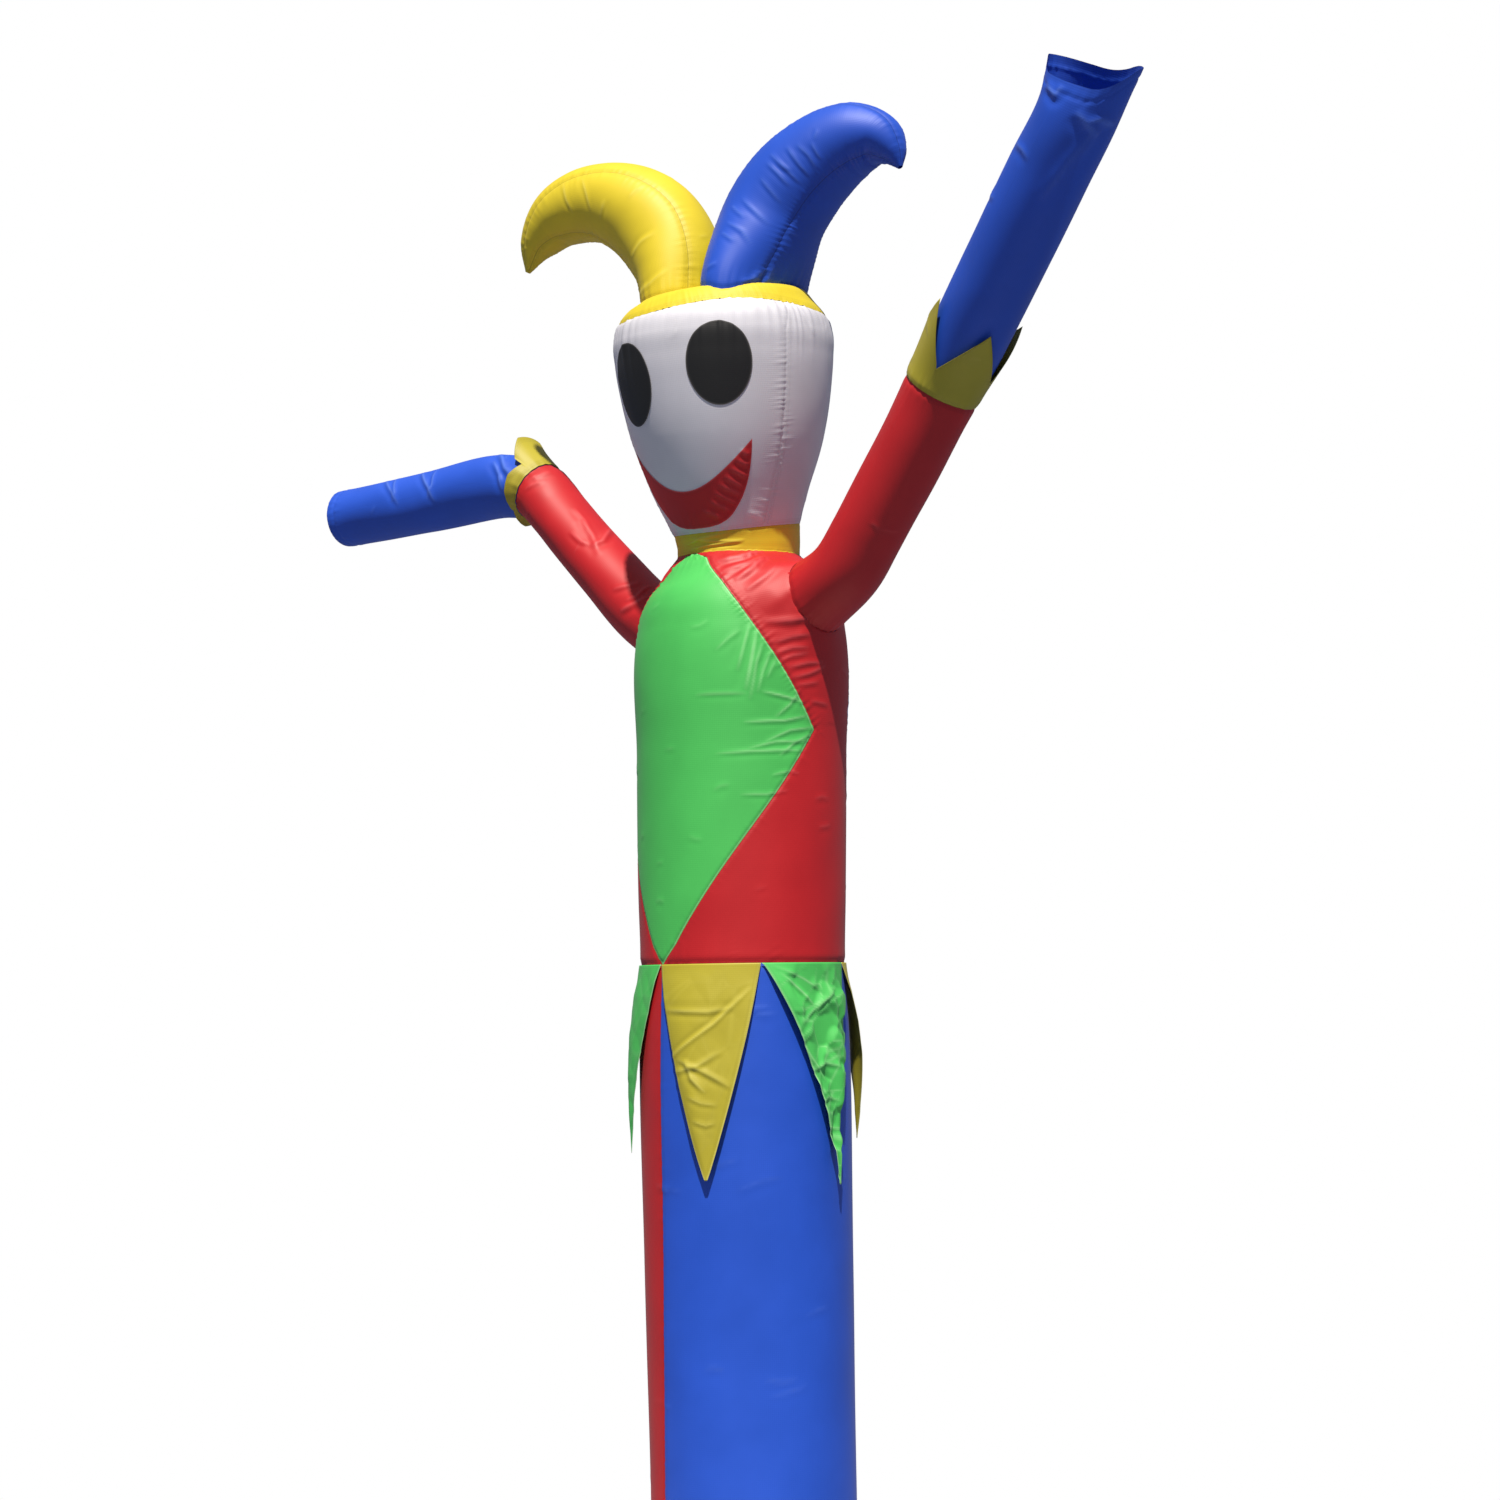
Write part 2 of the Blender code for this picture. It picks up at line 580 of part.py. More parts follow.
def make_horn(name, curls, front_gore, side, colour, cap, head_core):
    """Four gores that meet in a point, and the hole in the cap that they are sewn into."""
    tube = horn_tube(curls, side)
    rows = [row.at for row in curls]

    def edges(at):
        first = by_table([row[:2] for row in front_gore], at)
        last = by_table([row[::2] for row in front_gore], at)
        return first, last, 180.0 - last, 180.0 - first, first + 360.0

    def turns(at):
        corners = edges(at)
        return [first + (last - first) * c / columns
                for first, last, columns in zip(corners[:-1], corners[1:], HORN_COLUMNS)
                for c in range(columns)]

    for number, part in enumerate(HORN_GORES):
        gore = strip(f"{name}_{part}", tube, rows, HORN_COLUMNS[number],
                     lambda at, n=number: edges(at)[n], lambda at, n=number: edges(at)[n + 1],
                     LIMB_WALL, colour)
        cut(gore, head_core)
    cut(cap, plug(f"{name}_hole", tube, rows[:4], turns, LIMB_WALL / 2 + GAP))


def make_arm(side, bends, elbow, torso, torso_core, hand_rim):
    """A red sleeve through the armhole and a blue forearm that is open at the hand."""
    tube = limb_tube(bends)
    keys = [bend.at for bend in bends]
    hand = keys[-1]

    def sleeve(across, at):
        return at, 360.0 * across, 0.0

    def forearm(across, at):
        turn = 360.0 * across
        part = (at - elbow) / (hand - elbow)
        return at - (hand - by_table(hand_rim, turn)) * part**4, turn, 0.0

    sleeve_rows = trimmed([at for at in keys if at < elbow] + [elbow])
    fore_rows = [elbow + SEAM, elbow + ELBOW_BAND]
    fore_rows += [at for at in keys if at > elbow + ELBOW_BAND]
    upper = sheet(f"arm_{side}_upper", tube, sleeve_rows, LIMB_SIDES, sleeve, LIMB_WALL, "red",
                  ring=True)
    sheet(f"arm_{side}_fore", tube, fore_rows, LIMB_SIDES, forearm, LIMB_WALL, "blue", ring=True)
    cut(upper, torso_core)
    through = [at for at in keys if at < ARMHOLE_REACH]
    cut(torso, plug(f"arm_{side}_hole", tube, through, evenly(LIMB_SIDES), LIMB_WALL / 2 + GAP))
    return tube


def make_cuff(side, tube, elbow, points, first_turn):
    """A ring of cloth with four points, sewn in at the elbow and loose over the forearm."""
    lying = LIMB_WALL / 2 + GAP + TRIM_WALL / 2
    count = len(points)

    def place(across, row):
        place_round = round(across * LIMB_SIDES) * count / LIMB_SIDES
        number = int(place_round)
        point = points[number % count]
        tip = min(1.0, point.blunt * (1.0 - abs(2.0 * (place_round - number) - 1.0)))
        reach = point.notch + point.length * tip
        stand = point.notch_stand + (point.tip_stand - point.notch_stand) * tip
        return elbow + 2 * SEAM + reach * row, 360.0 * across + first_turn, lying + stand * row**1.5

    sheet(f"cuff_{side}", tube, CUFF_ROWS, LIMB_SIDES, place, TRIM_WALL, "olive", ring=True)


def main():
    for old in list(bpy.data.objects):
        bpy.data.objects.remove(old, do_unlink=True)
    trunk = trunk_tube()
    make_leg(trunk)
    for number, flag in enumerate(FLAGS):
        make_flag(trunk, number, flag)
    torso_left, torso_right = make_torso(trunk)
    make_collar(trunk)
    make_head(trunk)
    make_face(trunk)
    cap = make_cap(trunk)
    columns = evenly(round(360.0 / BODY_STEP))
    torso_core = plug("torso_core", trunk, TORSO_CORE_ROWS, columns, -BODY_WALL / 2)
    head_core = plug("head_core", trunk, CROWN_CORE_ROWS, columns, -BODY_WALL / 2)
    make_horn("horn_blue", HORN_BLUE, FRONT_GORE_BLUE, 1, "blue", cap, head_core)
    make_horn("horn_yellow", HORN_YELLOW, FRONT_GORE_YELLOW, -1, "yellow", cap, head_core)
    left = make_arm("left", ARM_LEFT, ELBOW_LEFT, torso_left, torso_core, HAND_RIM_LEFT)
    right = make_arm("right", ARM_RIGHT, ELBOW_RIGHT, torso_right, torso_core, HAND_RIM_RIGHT)
    make_cuff("left", left, ELBOW_LEFT, CUFF_LEFT, CUFF_LEFT_TURN)
    make_cuff("right", right, ELBOW_RIGHT, CUFF_RIGHT, CUFF_RIGHT_TURN)


main()
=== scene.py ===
import math

import bpy
import numpy as np
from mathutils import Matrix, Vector
from mathutils.bvhtree import BVHTree
from mathutils.kdtree import KDTree


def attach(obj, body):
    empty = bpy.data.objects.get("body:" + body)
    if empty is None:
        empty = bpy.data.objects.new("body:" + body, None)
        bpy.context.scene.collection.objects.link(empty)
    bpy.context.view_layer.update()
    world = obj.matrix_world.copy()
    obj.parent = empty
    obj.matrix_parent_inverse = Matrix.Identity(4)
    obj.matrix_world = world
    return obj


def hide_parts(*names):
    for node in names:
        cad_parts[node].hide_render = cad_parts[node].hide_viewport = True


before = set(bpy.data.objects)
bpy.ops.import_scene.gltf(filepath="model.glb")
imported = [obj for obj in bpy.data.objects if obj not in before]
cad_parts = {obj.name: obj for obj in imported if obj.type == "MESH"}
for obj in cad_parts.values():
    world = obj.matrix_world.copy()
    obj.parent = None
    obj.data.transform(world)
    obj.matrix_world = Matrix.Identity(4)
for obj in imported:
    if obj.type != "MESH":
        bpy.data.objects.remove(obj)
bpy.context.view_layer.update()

# Sizes that every panel shares, in metres and degrees. They repeat the solids' own tables.
footToOrigin = np.array((0.0596, 0.044, 0.0))
waistAt = 1.65
collarFootAt = 2.54
collarTopAt = 2.60
crownAt = 3.08
capTopAt = 3.285
crownMiddle = (0.012, -0.099)
faceTurn = 15.0
mm = 0.001

trunkRound = [
    # at, x, y, z, radius across, radius deep, turn of the front seam
    (0.00, 0.014, 0.014, 0.00, 0.216, 0.216, -17.0),
    (0.05, 0.014, 0.014, 0.05, 0.216, 0.216, -16.5),
    (0.52, 0.006, 0.006, 0.52, 0.218, 0.218, -12.5),
    (1.02, -0.001, -0.001, 1.02, 0.223, 0.223, -8.5),
    (1.50, -0.009, -0.009, 1.50, 0.226, 0.226, -5.5),
    (1.65, -0.011, -0.011, 1.65, 0.2205, 0.2205, -5.0),
    (1.80, -0.012, -0.012, 1.80, 0.2235, 0.2235, -2.2),
    (2.10, -0.013, -0.013, 2.10, 0.228, 0.228, 3.4),
    (2.36, -0.015, -0.013, 2.36, 0.227, 0.227, 2.2),
    (2.42, -0.016, -0.013, 2.42, 0.214, 0.214, 1.6),
    (2.46, -0.017, -0.013, 2.46, 0.194, 0.194, 1.4),
    (2.50, -0.019, -0.014, 2.50, 0.166, 0.166, 1.2),
    (2.54, -0.020, -0.015, 2.54, 0.1355, 0.1355, 1.2),
    (2.57, -0.018, -0.0175, 2.57, 0.135, 0.135, 8.0),
    (2.60, -0.0165, -0.023, 2.60, 0.139, 0.139, 14.5),
    (2.65, -0.014, -0.034, 2.65, 0.158, 0.158, 15.0),
    (2.70, -0.012, -0.044, 2.70, 0.178, 0.178, 15.0),
    (2.80, -0.006, -0.060, 2.80, 0.2115, 0.2115, 15.0),
    (2.90, 0.000, -0.074, 2.90, 0.2315, 0.2315, 15.0),
    (2.96, 0.0035, -0.082, 2.96, 0.2385, 0.2385, 15.0),
    (3.01, 0.0065, -0.088, 3.01, 0.239, 0.239, 15.0),
    (3.05, 0.009, -0.093, 3.05, 0.226, 0.226, 15.0),
    (3.08, 0.011, -0.097, 3.08, 0.200, 0.200, 15.0),
    (3.110, 0.0113, -0.0992, 3.097, 0.177, 0.177, 15.0),
    (3.150, 0.0115, -0.1004, 3.106, 0.138, 0.138, 15.0),
    (3.205, 0.0116, -0.1012, 3.112, 0.084, 0.084, 15.0),
    (3.285, 0.0117, -0.1017, 3.116, 0.004, 0.004, 15.0),
]
armLeftRows = [
    # at, x, y, z, radius to the side, radius to the front
    (0.00, 0.110, -0.010, 2.380, 0.080, 0.083),
    (0.10, 0.205, -0.010, 2.424, 0.079, 0.082),
    (0.21, 0.299, -0.010, 2.476, 0.0755, 0.080),
    (0.30, 0.355, -0.010, 2.541, 0.074, 0.079),
    (0.37, 0.399, -0.010, 2.598, 0.0745, 0.078),
    (0.51, 0.487, -0.010, 2.711, 0.0765, 0.078),
    (0.64, 0.566, -0.013, 2.812, 0.079, 0.079),
    (0.89, 0.742, -0.058, 2.986, 0.082, 0.080),
    (1.14, 0.917, -0.105, 3.159, 0.0845, 0.077),
    (1.27, 1.0085, -0.130, 3.2515, 0.087, 0.070),
    (1.39, 1.073, -0.150, 3.355, 0.119, 0.043),
]
armRightRows = [
    (0.00, -0.120, -0.012, 2.338, 0.081, 0.084),
    (0.11, -0.215, -0.016, 2.391, 0.080, 0.084),
    (0.21, -0.300, -0.022, 2.442, 0.077, 0.083),
    (0.37, -0.420, -0.034, 2.549, 0.070, 0.080),
    (0.53, -0.530, -0.045, 2.656, 0.067, 0.078),
    (0.61, -0.582, -0.051, 2.710, 0.066, 0.078),
    (0.70, -0.645, -0.061, 2.773, 0.070, 0.077),
    (0.80, -0.730, -0.075, 2.796, 0.0755, 0.0755),
    (1.07, -0.996, -0.122, 2.790, 0.0735, 0.0735),
    (1.35, -1.272, -0.172, 2.781, 0.0705, 0.071),
]
hornBlueRows = [
    # at, out from the middle of the crown, z, radius in the curl's plane, radius across it
    (0.000, 0.076, 3.040, 0.084, 0.171),
    (0.070, 0.082, 3.110, 0.089, 0.166),
    (0.150, 0.105, 3.190, 0.102, 0.142),
    (0.235, 0.138, 3.269, 0.109, 0.117),
    (0.305, 0.185, 3.325, 0.106, 0.110),
    (0.365, 0.232, 3.361, 0.099, 0.102),
    (0.425, 0.284, 3.387, 0.090, 0.093),
    (0.490, 0.342, 3.397, 0.076, 0.080),
    (0.545, 0.389, 3.386, 0.056, 0.061),
    (0.595, 0.418, 3.357, 0.034, 0.038),
    (0.650, 0.437, 3.318, 0.005, 0.005),
]
hornYellowRows = [
    (0.000, 0.092, 3.040, 0.080, 0.120),
    (0.070, 0.097, 3.110, 0.086, 0.120),
    (0.145, 0.107, 3.180, 0.097, 0.114),
    (0.215, 0.132, 3.238, 0.105, 0.107),
    (0.290, 0.175, 3.294, 0.106, 0.104),
    (0.360, 0.230, 3.336, 0.100, 0.101),
    (0.435, 0.300, 3.364, 0.090, 0.091),
    (0.505, 0.371, 3.368, 0.082, 0.083),
    (0.580, 0.441, 3.346, 0.068, 0.068),
    (0.645, 0.489, 3.301, 0.045, 0.045),
    (0.725, 0.520, 3.236, 0.005, 0.005),
]


def unit(v):
    return v / np.maximum(np.linalg.norm(v, axis=-1, keepdims=True), 1e-12)


def easeTable(table):
    # a function that goes straight between the rows of a short table
    places = [row[0] for row in table]
    values = [row[1] for row in table]
    return lambda at: np.interp(at, places, values)


def roundTable(turns, values):
    # the same round a tube, where 360 degrees is 0 again
    return lambda turn: np.interp(turn % 360.0, turns % 360.0, values, period=360.0)


def seamLine(turn, half=None, side=1):
    # where a seam runs, in degrees by place along the tube: straight, or half(at) to one side
    return lambda at: turn + (side * half(at) if half else 0.0 * at)


def wander(x, seed):
    # smooth uneven line, -1 to 1, one bend per unit of x
    lattice = np.random.default_rng(seed).uniform(-1.0, 1.0, 1024)
    whole = np.floor(x).astype(int)
    part = x - whole
    part = part * part * (3.0 - 2.0 * part)
    return lattice[whole % 1024] * (1.0 - part) + lattice[(whole + 1) % 1024] * part


def dapple(x, y, seed):
    # the same over a surface
    lattice = np.random.default_rng(seed).uniform(-1.0, 1.0, (128, 128))
    wx, wy = np.floor(x).astype(int), np.floor(y).astype(int)
    fx, fy = x - wx, y - wy
    fx, fy = fx * fx * (3.0 - 2.0 * fx), fy * fy * (3.0 - 2.0 * fy)
    low = lattice[wx % 128, wy % 128] * (1 - fx) + lattice[(wx + 1) % 128, wy % 128] * fx
    high = lattice[wx % 128, (wy + 1) % 128] * (1 - fx) + lattice[(wx + 1) % 128, (wy + 1) % 128] * fx
    return low * (1 - fy) + high * fy


def nearTurn(turn, middle):
    return (turn - middle + 180.0) % 360.0 - 180.0


class ClothTube:
    # a blown-up tube through rows of at, x, y, z, radius across, radius deep and twist

    def __init__(self, rows, front=(0.0, -1.0, 0.0)):
        rows = [row if len(row) == 7 else (*row, 0.0) for row in rows]
        self.keys = np.array([row[0] for row in rows])
        self.values = np.array([row[1:] for row in rows])
        self.slopes = np.gradient(self.values, self.keys, axis=0)
        self.front = np.array(front)
        self.relief = []

    def section(self, at):
        at = np.clip(at, self.keys[0], self.keys[-1])
        i = np.clip(np.searchsorted(self.keys, at, side="right") - 1, 0, len(self.keys) - 2)
        span = (self.keys[i + 1] - self.keys[i])[..., None]
        t = (at - self.keys[i])[..., None] / span
        value = (2 * t**3 - 3 * t**2 + 1) * self.values[i]
        value = value + (t**3 - 2 * t**2 + t) * span * self.slopes[i]
        value = value + (3 * t**2 - 2 * t**3) * self.values[i + 1]
        return value + (t**3 - t**2) * span * self.slopes[i + 1]

    def radius(self, at):
        here = self.section(np.asarray(at, float))
        return (here[..., 3] + here[..., 4]) / 2

    def perDegree(self, at):
        # how far one degree is round the tube
        return self.radius(at) * np.pi / 180.0

    def skin(self, at, turn):
        at, turn = np.broadcast_arrays(np.asarray(at, float), np.asarray(turn, float))
        axis = unit(self.section(at + 0.5 * mm)[..., :3] - self.section(at - 0.5 * mm)[..., :3])
        front = unit(self.front - axis * (axis @ self.front)[..., None])
        side = np.cross(axis, front)
        here = self.section(at)
        angle = np.radians(turn + here[..., 5])
        toSide = side * (here[..., 3] * np.sin(angle))[..., None]
        return here[..., :3] + toSide + front * (here[..., 4] * np.cos(angle))[..., None]

    def outward(self, at, turn):
        roundIt = self.skin(at, turn + 0.5) - self.skin(at, turn - 0.5)
        alongIt = self.skin(at + mm, turn) - self.skin(at - mm, turn)
        return unit(np.cross(roundIt, alongIt))

    def lift(self, at, turn):
        # how far folds, gathers and seams stand off the smooth tube, and how creased the cloth is
        height = np.zeros(np.shape(at))
        crease = np.zeros(np.shape(at))
        for part in self.relief:
            more, worn = part(self, at, turn)
            height += more
            crease = np.maximum(crease, worn)
        return height, crease

    def place(self, at, turn, lift):
        return self.skin(at, turn) + self.outward(at, turn) * lift[..., None] + footToOrigin


def gathers(run, away, pitch, reach, height, slant, seed):
    # uneven puckers square to a seam, their sizes in mm: each has its own height and length
    pitch, reach, height = pitch * mm, reach * mm, height * mm
    run = run + slant * away
    phase = run / pitch + 0.8 * wander(run / (2.6 * pitch), seed)
    wave = (0.5 + 0.5 * np.cos(2.0 * np.pi * phase)) ** 1.5
    own = 0.55 + 0.45 * wander(np.round(phase) * 1.37 + 0.5, seed + 1)
    far = reach * (0.45 + 0.75 * own)
    return height * wave * own * np.exp(-((away / far) ** 2))


def seamDip(away, looks):
    return -looks["dip"] * mm * np.exp(-((away / (looks["dipWidth"] * mm)) ** 2))


def sewn(looks, at, away, run):
    # the dip along a seam, with the puckers on its left and on its right
    lift = seamDip(away, looks)
    for name, side, moreSeed in (("left", -1, 0), ("right", 1, 10)):
        puckers = gathers(run, np.abs(away), *looks[name], looks["seed"] + moreSeed)
        strength = easeTable(looks[name + "Where"])(at) if name + "Where" in looks else 1.0
        lift = lift + np.where(away * side >= 0, puckers, 0.0) * strength
    return lift


def reseeded(looks, more):
    return {**looks, "seed": looks["seed"] + more}


def edgeSeam(edge, atLow, atHigh, looks):
    # a seam that runs along the tube, at edge(at) degrees. Its right side is the larger turn.
    def part(tube, at, turn):
        r = tube.radius(at)
        slope = (edge(at + 2 * mm) - edge(at - 2 * mm)) * np.pi / 180.0 * r / (4 * mm)
        lean = 1.0 / np.sqrt(1.0 + slope**2)
        away = nearTurn(turn, edge(at)) * np.pi / 180.0 * r * lean
        steps = np.linspace(atLow, atHigh, 400)
        around = edge(steps) * np.pi / 180.0 * tube.radius(steps)
        length = np.concatenate([[0.0], np.cumsum(np.hypot(np.diff(steps), np.diff(around)))])
        run = np.interp(at + away * slope * lean, steps, length)
        fade = np.clip((at - atLow) / 0.01, 0, 1) * np.clip((atHigh - at) / 0.01, 0, 1)
        return sewn(looks, at, away, run) * fade, 0.0 * at
    return part


def ringSeam(seamAt, looks, dropAt=lambda turn: 0.0):
    # a seam that runs round the tube, lower by dropAt(turn) than its ring. Its left side is below it.
    def part(tube, at, turn):
        away = at - seamAt + dropAt(turn)
        run = (turn % 360.0) * np.pi / 180.0 * float(tube.radius(seamAt))
        return sewn(looks, at, away, run), 0.0 * at
    return part


def foldLine(points, height, width, worn, dip=0.55):
    # a soft ridge along points of (at, turn), with a shallower trough on its right
    points = np.array(points, float)
    middle = points[:, 1].mean()
    taper = 0.3    # the share of its length over which each end fades

    def part(tube, at, turn):
        r = tube.radius(at)
        x = nearTurn(turn, middle) * np.pi / 180.0 * r
        px = (points[:, 1] - middle) * np.pi / 180.0 * tube.radius(points[:, 0])
        py = points[:, 0]
        lift, crease = np.zeros(at.shape), np.zeros(at.shape)
        room = 4.0 * width
        near = (x > px.min() - room) & (x < px.max() + room)
        near &= (at > py.min() - room) & (at < py.max() + room)
        if not near.any():
            return lift, crease
        x, y = x[near], at[near]
        best = np.full(x.shape, 1e9)
        signed, along = np.zeros(x.shape), np.zeros(x.shape)
        lengths = np.hypot(np.diff(px), np.diff(py))
        before = np.concatenate([[0.0], np.cumsum(lengths)])
        for i, length in enumerate(lengths):
            dx, dy = (px[i + 1] - px[i]) / length, (py[i + 1] - py[i]) / length
            t = np.clip((x - px[i]) * dx + (y - py[i]) * dy, 0.0, length)
            gap = np.hypot(x - px[i] - t * dx, y - py[i] - t * dy)
            closer = gap < best
            best = np.where(closer, gap, best)
            sign = np.sign((x - px[i]) * dy - (y - py[i]) * dx)
            signed = np.where(closer, gap * sign, signed)
            along = np.where(closer, before[i] + t, along)
        share = along / before[-1]
        fade = np.clip(share / taper, 0, 1) * np.clip((1.0 - share) / taper, 0, 1)
        fade = fade**0.7
        ridge = np.exp(-((signed / width) ** 2))
        trough = np.exp(-(((signed - 1.7 * width) / (1.2 * width)) ** 2))
        lift[near] = height * fade * (ridge - dip * trough)
        crease[near] = worn * fade * np.exp(-((best / (0.45 * width)) ** 2))
        return lift, crease
    return part


def foldsOf(tables):
    return [foldLine(points, height * mm, width * mm, worn)
            for folds in tables.values() for height, width, worn, points in folds]


def scatteredCreases(count, atSpan, turnSpan, leans, lengths, height, width, seed, worn):
    # small creases that packing and waving have left in the cloth
    draw = np.random.default_rng(seed)
    made = []
    for _ in range(count):
        at = draw.uniform(*atSpan)
        turn = draw.uniform(*turnSpan)
        lean = math.radians(draw.uniform(*leans))
        length = draw.uniform(*lengths)
        bend = draw.uniform(-0.12, 0.12) * length
        size = draw.uniform(0.5, 1.0)
        made.append((at, turn, lean, length, bend, size))

    def part(tube, at, turn):
        lift, crease = np.zeros(at.shape), np.zeros(at.shape)
        for a, t, lean, length, bend, size in made:
            perDegree = float(tube.radius(a)) * np.pi / 180.0
            dx, dy = math.cos(lean) * length / 2, math.sin(lean) * length / 2
            points = [(a - dy, t - dx / perDegree),
                      (a + bend * math.cos(lean), t - bend * math.sin(lean) / perDegree),
                      (a + dy, t + dx / perDegree)]
            fold = foldLine(points, height * size, width * (0.7 + 0.5 * size), worn * size, 0.5)
            more, mark = fold(tube, at, turn)
            lift += more
            crease = np.maximum(crease, mark)
        return lift, crease
    return part


def unevenness(height, across, along, seed):
    # the slow swells of cloth that air holds out
    def part(tube, at, turn):
        angle = np.radians(turn)
        r = float(tube.radius(tube.keys.mean()))
        x = r * np.cos(angle) / across + 40.0
        y = r * np.sin(angle) / across + 40.0
        swell = dapple(x, y + at / along, seed) + 0.6 * dapple(y, x - at / along, seed + 1)
        return height * swell, 0.0 * at
    return part


def hexColour(code):
    # sRGB hex to linear
    parts = [int(code[i:i + 2], 16) / 255.0 for i in (1, 3, 5)]
    return tuple(p / 12.92 if p <= 0.04045 else ((p + 0.055) / 1.055) ** 2.4 for p in parts)


def addNode(tree, kind, settings=None, **links):
    # one node, its settings and sockets; a link is given as socket=(node, output)
    node = tree.nodes.new(kind)
    for key, value in (settings or {}).items():
        if isinstance(key, int) or key in node.inputs:
            node.inputs[key].default_value = value
        else:
            setattr(node, key, value)
    for key, (source, output) in links.items():
        socket = int(key[1:]) if key[0] == "_" else key.replace("_", " ")
        tree.links.new(source.outputs[output], node.inputs[socket])
    return node


def coatedNylon(name, cloth, worn, roughness, sheen, seamTone, through):
    # Woven nylon with a thin acrylic coat: a soft sheen that runs in bands over the folds, a fine
    # square weave, paler lines where it was folded, darker where two layers lie in a seam. The paler
    # colour also paints a highlight along turned hems.
    looks = {
        "threadMm": 4.0,        # real threads are 0.2 mm apart, drawn coarser so that they show
        "threadBump": 0.12,
        "seamMm": 1.6,          # half the width of the dark line in a seam
        "allowanceMm": 11.0,    # the sewn-over edge behind the cloth
        "stitchMm": 7.0,        # from one stitch to the next, drawn coarser than the real 3 mm
    }
    made = bpy.data.materials.new(name)
    made.use_nodes = True
    tree = made.node_tree
    tree.nodes.clear()
    clothAt = addNode(tree, "ShaderNodeAttribute", {"attribute_name": "cloth"})
    seamAt = addNode(tree, "ShaderNodeAttribute", {"attribute_name": "seam"})
    clothXyz = addNode(tree, "ShaderNodeSeparateXYZ", _0=(clothAt, "Vector"))
    seamXyz = addNode(tree, "ShaderNodeSeparateXYZ", _0=(seamAt, "Vector"))

    threads = 1.0 / (looks["threadMm"] * mm)
    grid = addNode(tree, "ShaderNodeMapping", {"Scale": (threads, threads, 1.0)}, Vector=(clothAt, "Vector"))
    warp = addNode(tree, "ShaderNodeTexWave", {"bands_direction": "X", "Scale": 0.31, "Distortion": 0.4},
                   Vector=(grid, "Vector"))
    weft = addNode(tree, "ShaderNodeTexWave", {"bands_direction": "Y", "Scale": 0.31, "Distortion": 0.6},
                   Vector=(grid, "Vector"))
    weave = addNode(tree, "ShaderNodeMath", {"operation": "ADD"}, _0=(warp, "Fac"), _1=(weft, "Fac"))

    # slow drift of the dye and the coat
    drift = addNode(tree, "ShaderNodeTexNoise", {"Scale": 7.0, "Detail": 3.0, "Roughness": 0.5},
                    Vector=(clothAt, "Vector"))
    driftShade = addNode(tree, "ShaderNodeMapRange", {"From Min": 0.3, "From Max": 0.7, "To Min": 0.93,
                                                      "To Max": 1.05}, Value=(drift, "Fac"))
    weaveShade = addNode(tree, "ShaderNodeMapRange", {"From Min": 0.0, "From Max": 2.0, "To Min": 0.975,
                                                      "To Max": 1.02}, Value=(weave, "Value"))
    # the seam's own dark line, and the doubled cloth beside it
    line = addNode(tree, "ShaderNodeMapRange", {"From Min": 0.0, "From Max": looks["seamMm"],
                                                "To Min": seamTone, "To Max": 1.0}, Value=(seamXyz, "X"))
    doubled = addNode(tree, "ShaderNodeMapRange", {"From Min": looks["allowanceMm"], "To Min": 0.94,
                                                   "From Max": looks["allowanceMm"] + 1.5, "To Max": 1.0},
                      Value=(seamXyz, "X"))
    # stitches: a dashed line beside the seam
    dash = addNode(tree, "ShaderNodeMath", {"operation": "PINGPONG", 1: looks["stitchMm"] / 2},
                   _0=(seamXyz, "Y"))
    onStitch = addNode(tree, "ShaderNodeMath", {"operation": "GREATER_THAN", 1: looks["stitchMm"] * 0.18},
                       _0=(dash, 0))
    fromStitch = addNode(tree, "ShaderNodeMath", {"operation": "COMPARE", 1: 5.0, 2: 0.9}, _0=(seamXyz, "X"))
    stitch = addNode(tree, "ShaderNodeMath", {"operation": "MULTIPLY"}, _0=(onStitch, 0), _1=(fromStitch, 0))
    stitchShade = addNode(tree, "ShaderNodeMapRange", {"To Min": 1.0, "To Max": 0.92}, Value=(stitch, 0))
    shade = driftShade
    for more in (weaveShade, line, doubled, stitchShade):
        shade = addNode(tree, "ShaderNodeMath", {"operation": "MULTIPLY"}, _0=(shade, 0), _1=(more, 0))
    base = addNode(tree, "ShaderNodeMix", {"data_type": "RGBA", 6: (*hexColour(cloth), 1.0),
                                           7: (*hexColour(worn), 1.0)}, _0=(clothXyz, "Z"))
    shaded = addNode(tree, "ShaderNodeVectorMath", {"operation": "SCALE"}, _0=(base, 2), _3=(shade, 0))

    rough = addNode(tree, "ShaderNodeMapRange", {"From Min": 0.25, "From Max": 0.75,
                                                 "To Min": roughness - 0.05, "To Max": roughness + 0.06},
                    Value=(drift, "Fac"))
    stitchHigh = addNode(tree, "ShaderNodeMath", {"operation": "MULTIPLY_ADD", 1: 1.5},
                         _0=(stitch, 0), _2=(weave, "Value"))
    bump = addNode(tree, "ShaderNodeBump", {"Strength": looks["threadBump"], "Distance": 0.4 * mm},
                   Height=(stitchHigh, 0))
    shader = addNode(tree, "ShaderNodeBsdfPrincipled",
                     {"Metallic": 0.0, "IOR": 1.53, "Sheen Weight": sheen, "Sheen Roughness": 0.35},
                     Base_Color=(shaded, 0), Roughness=(rough, 0), Normal=(bump, 0))
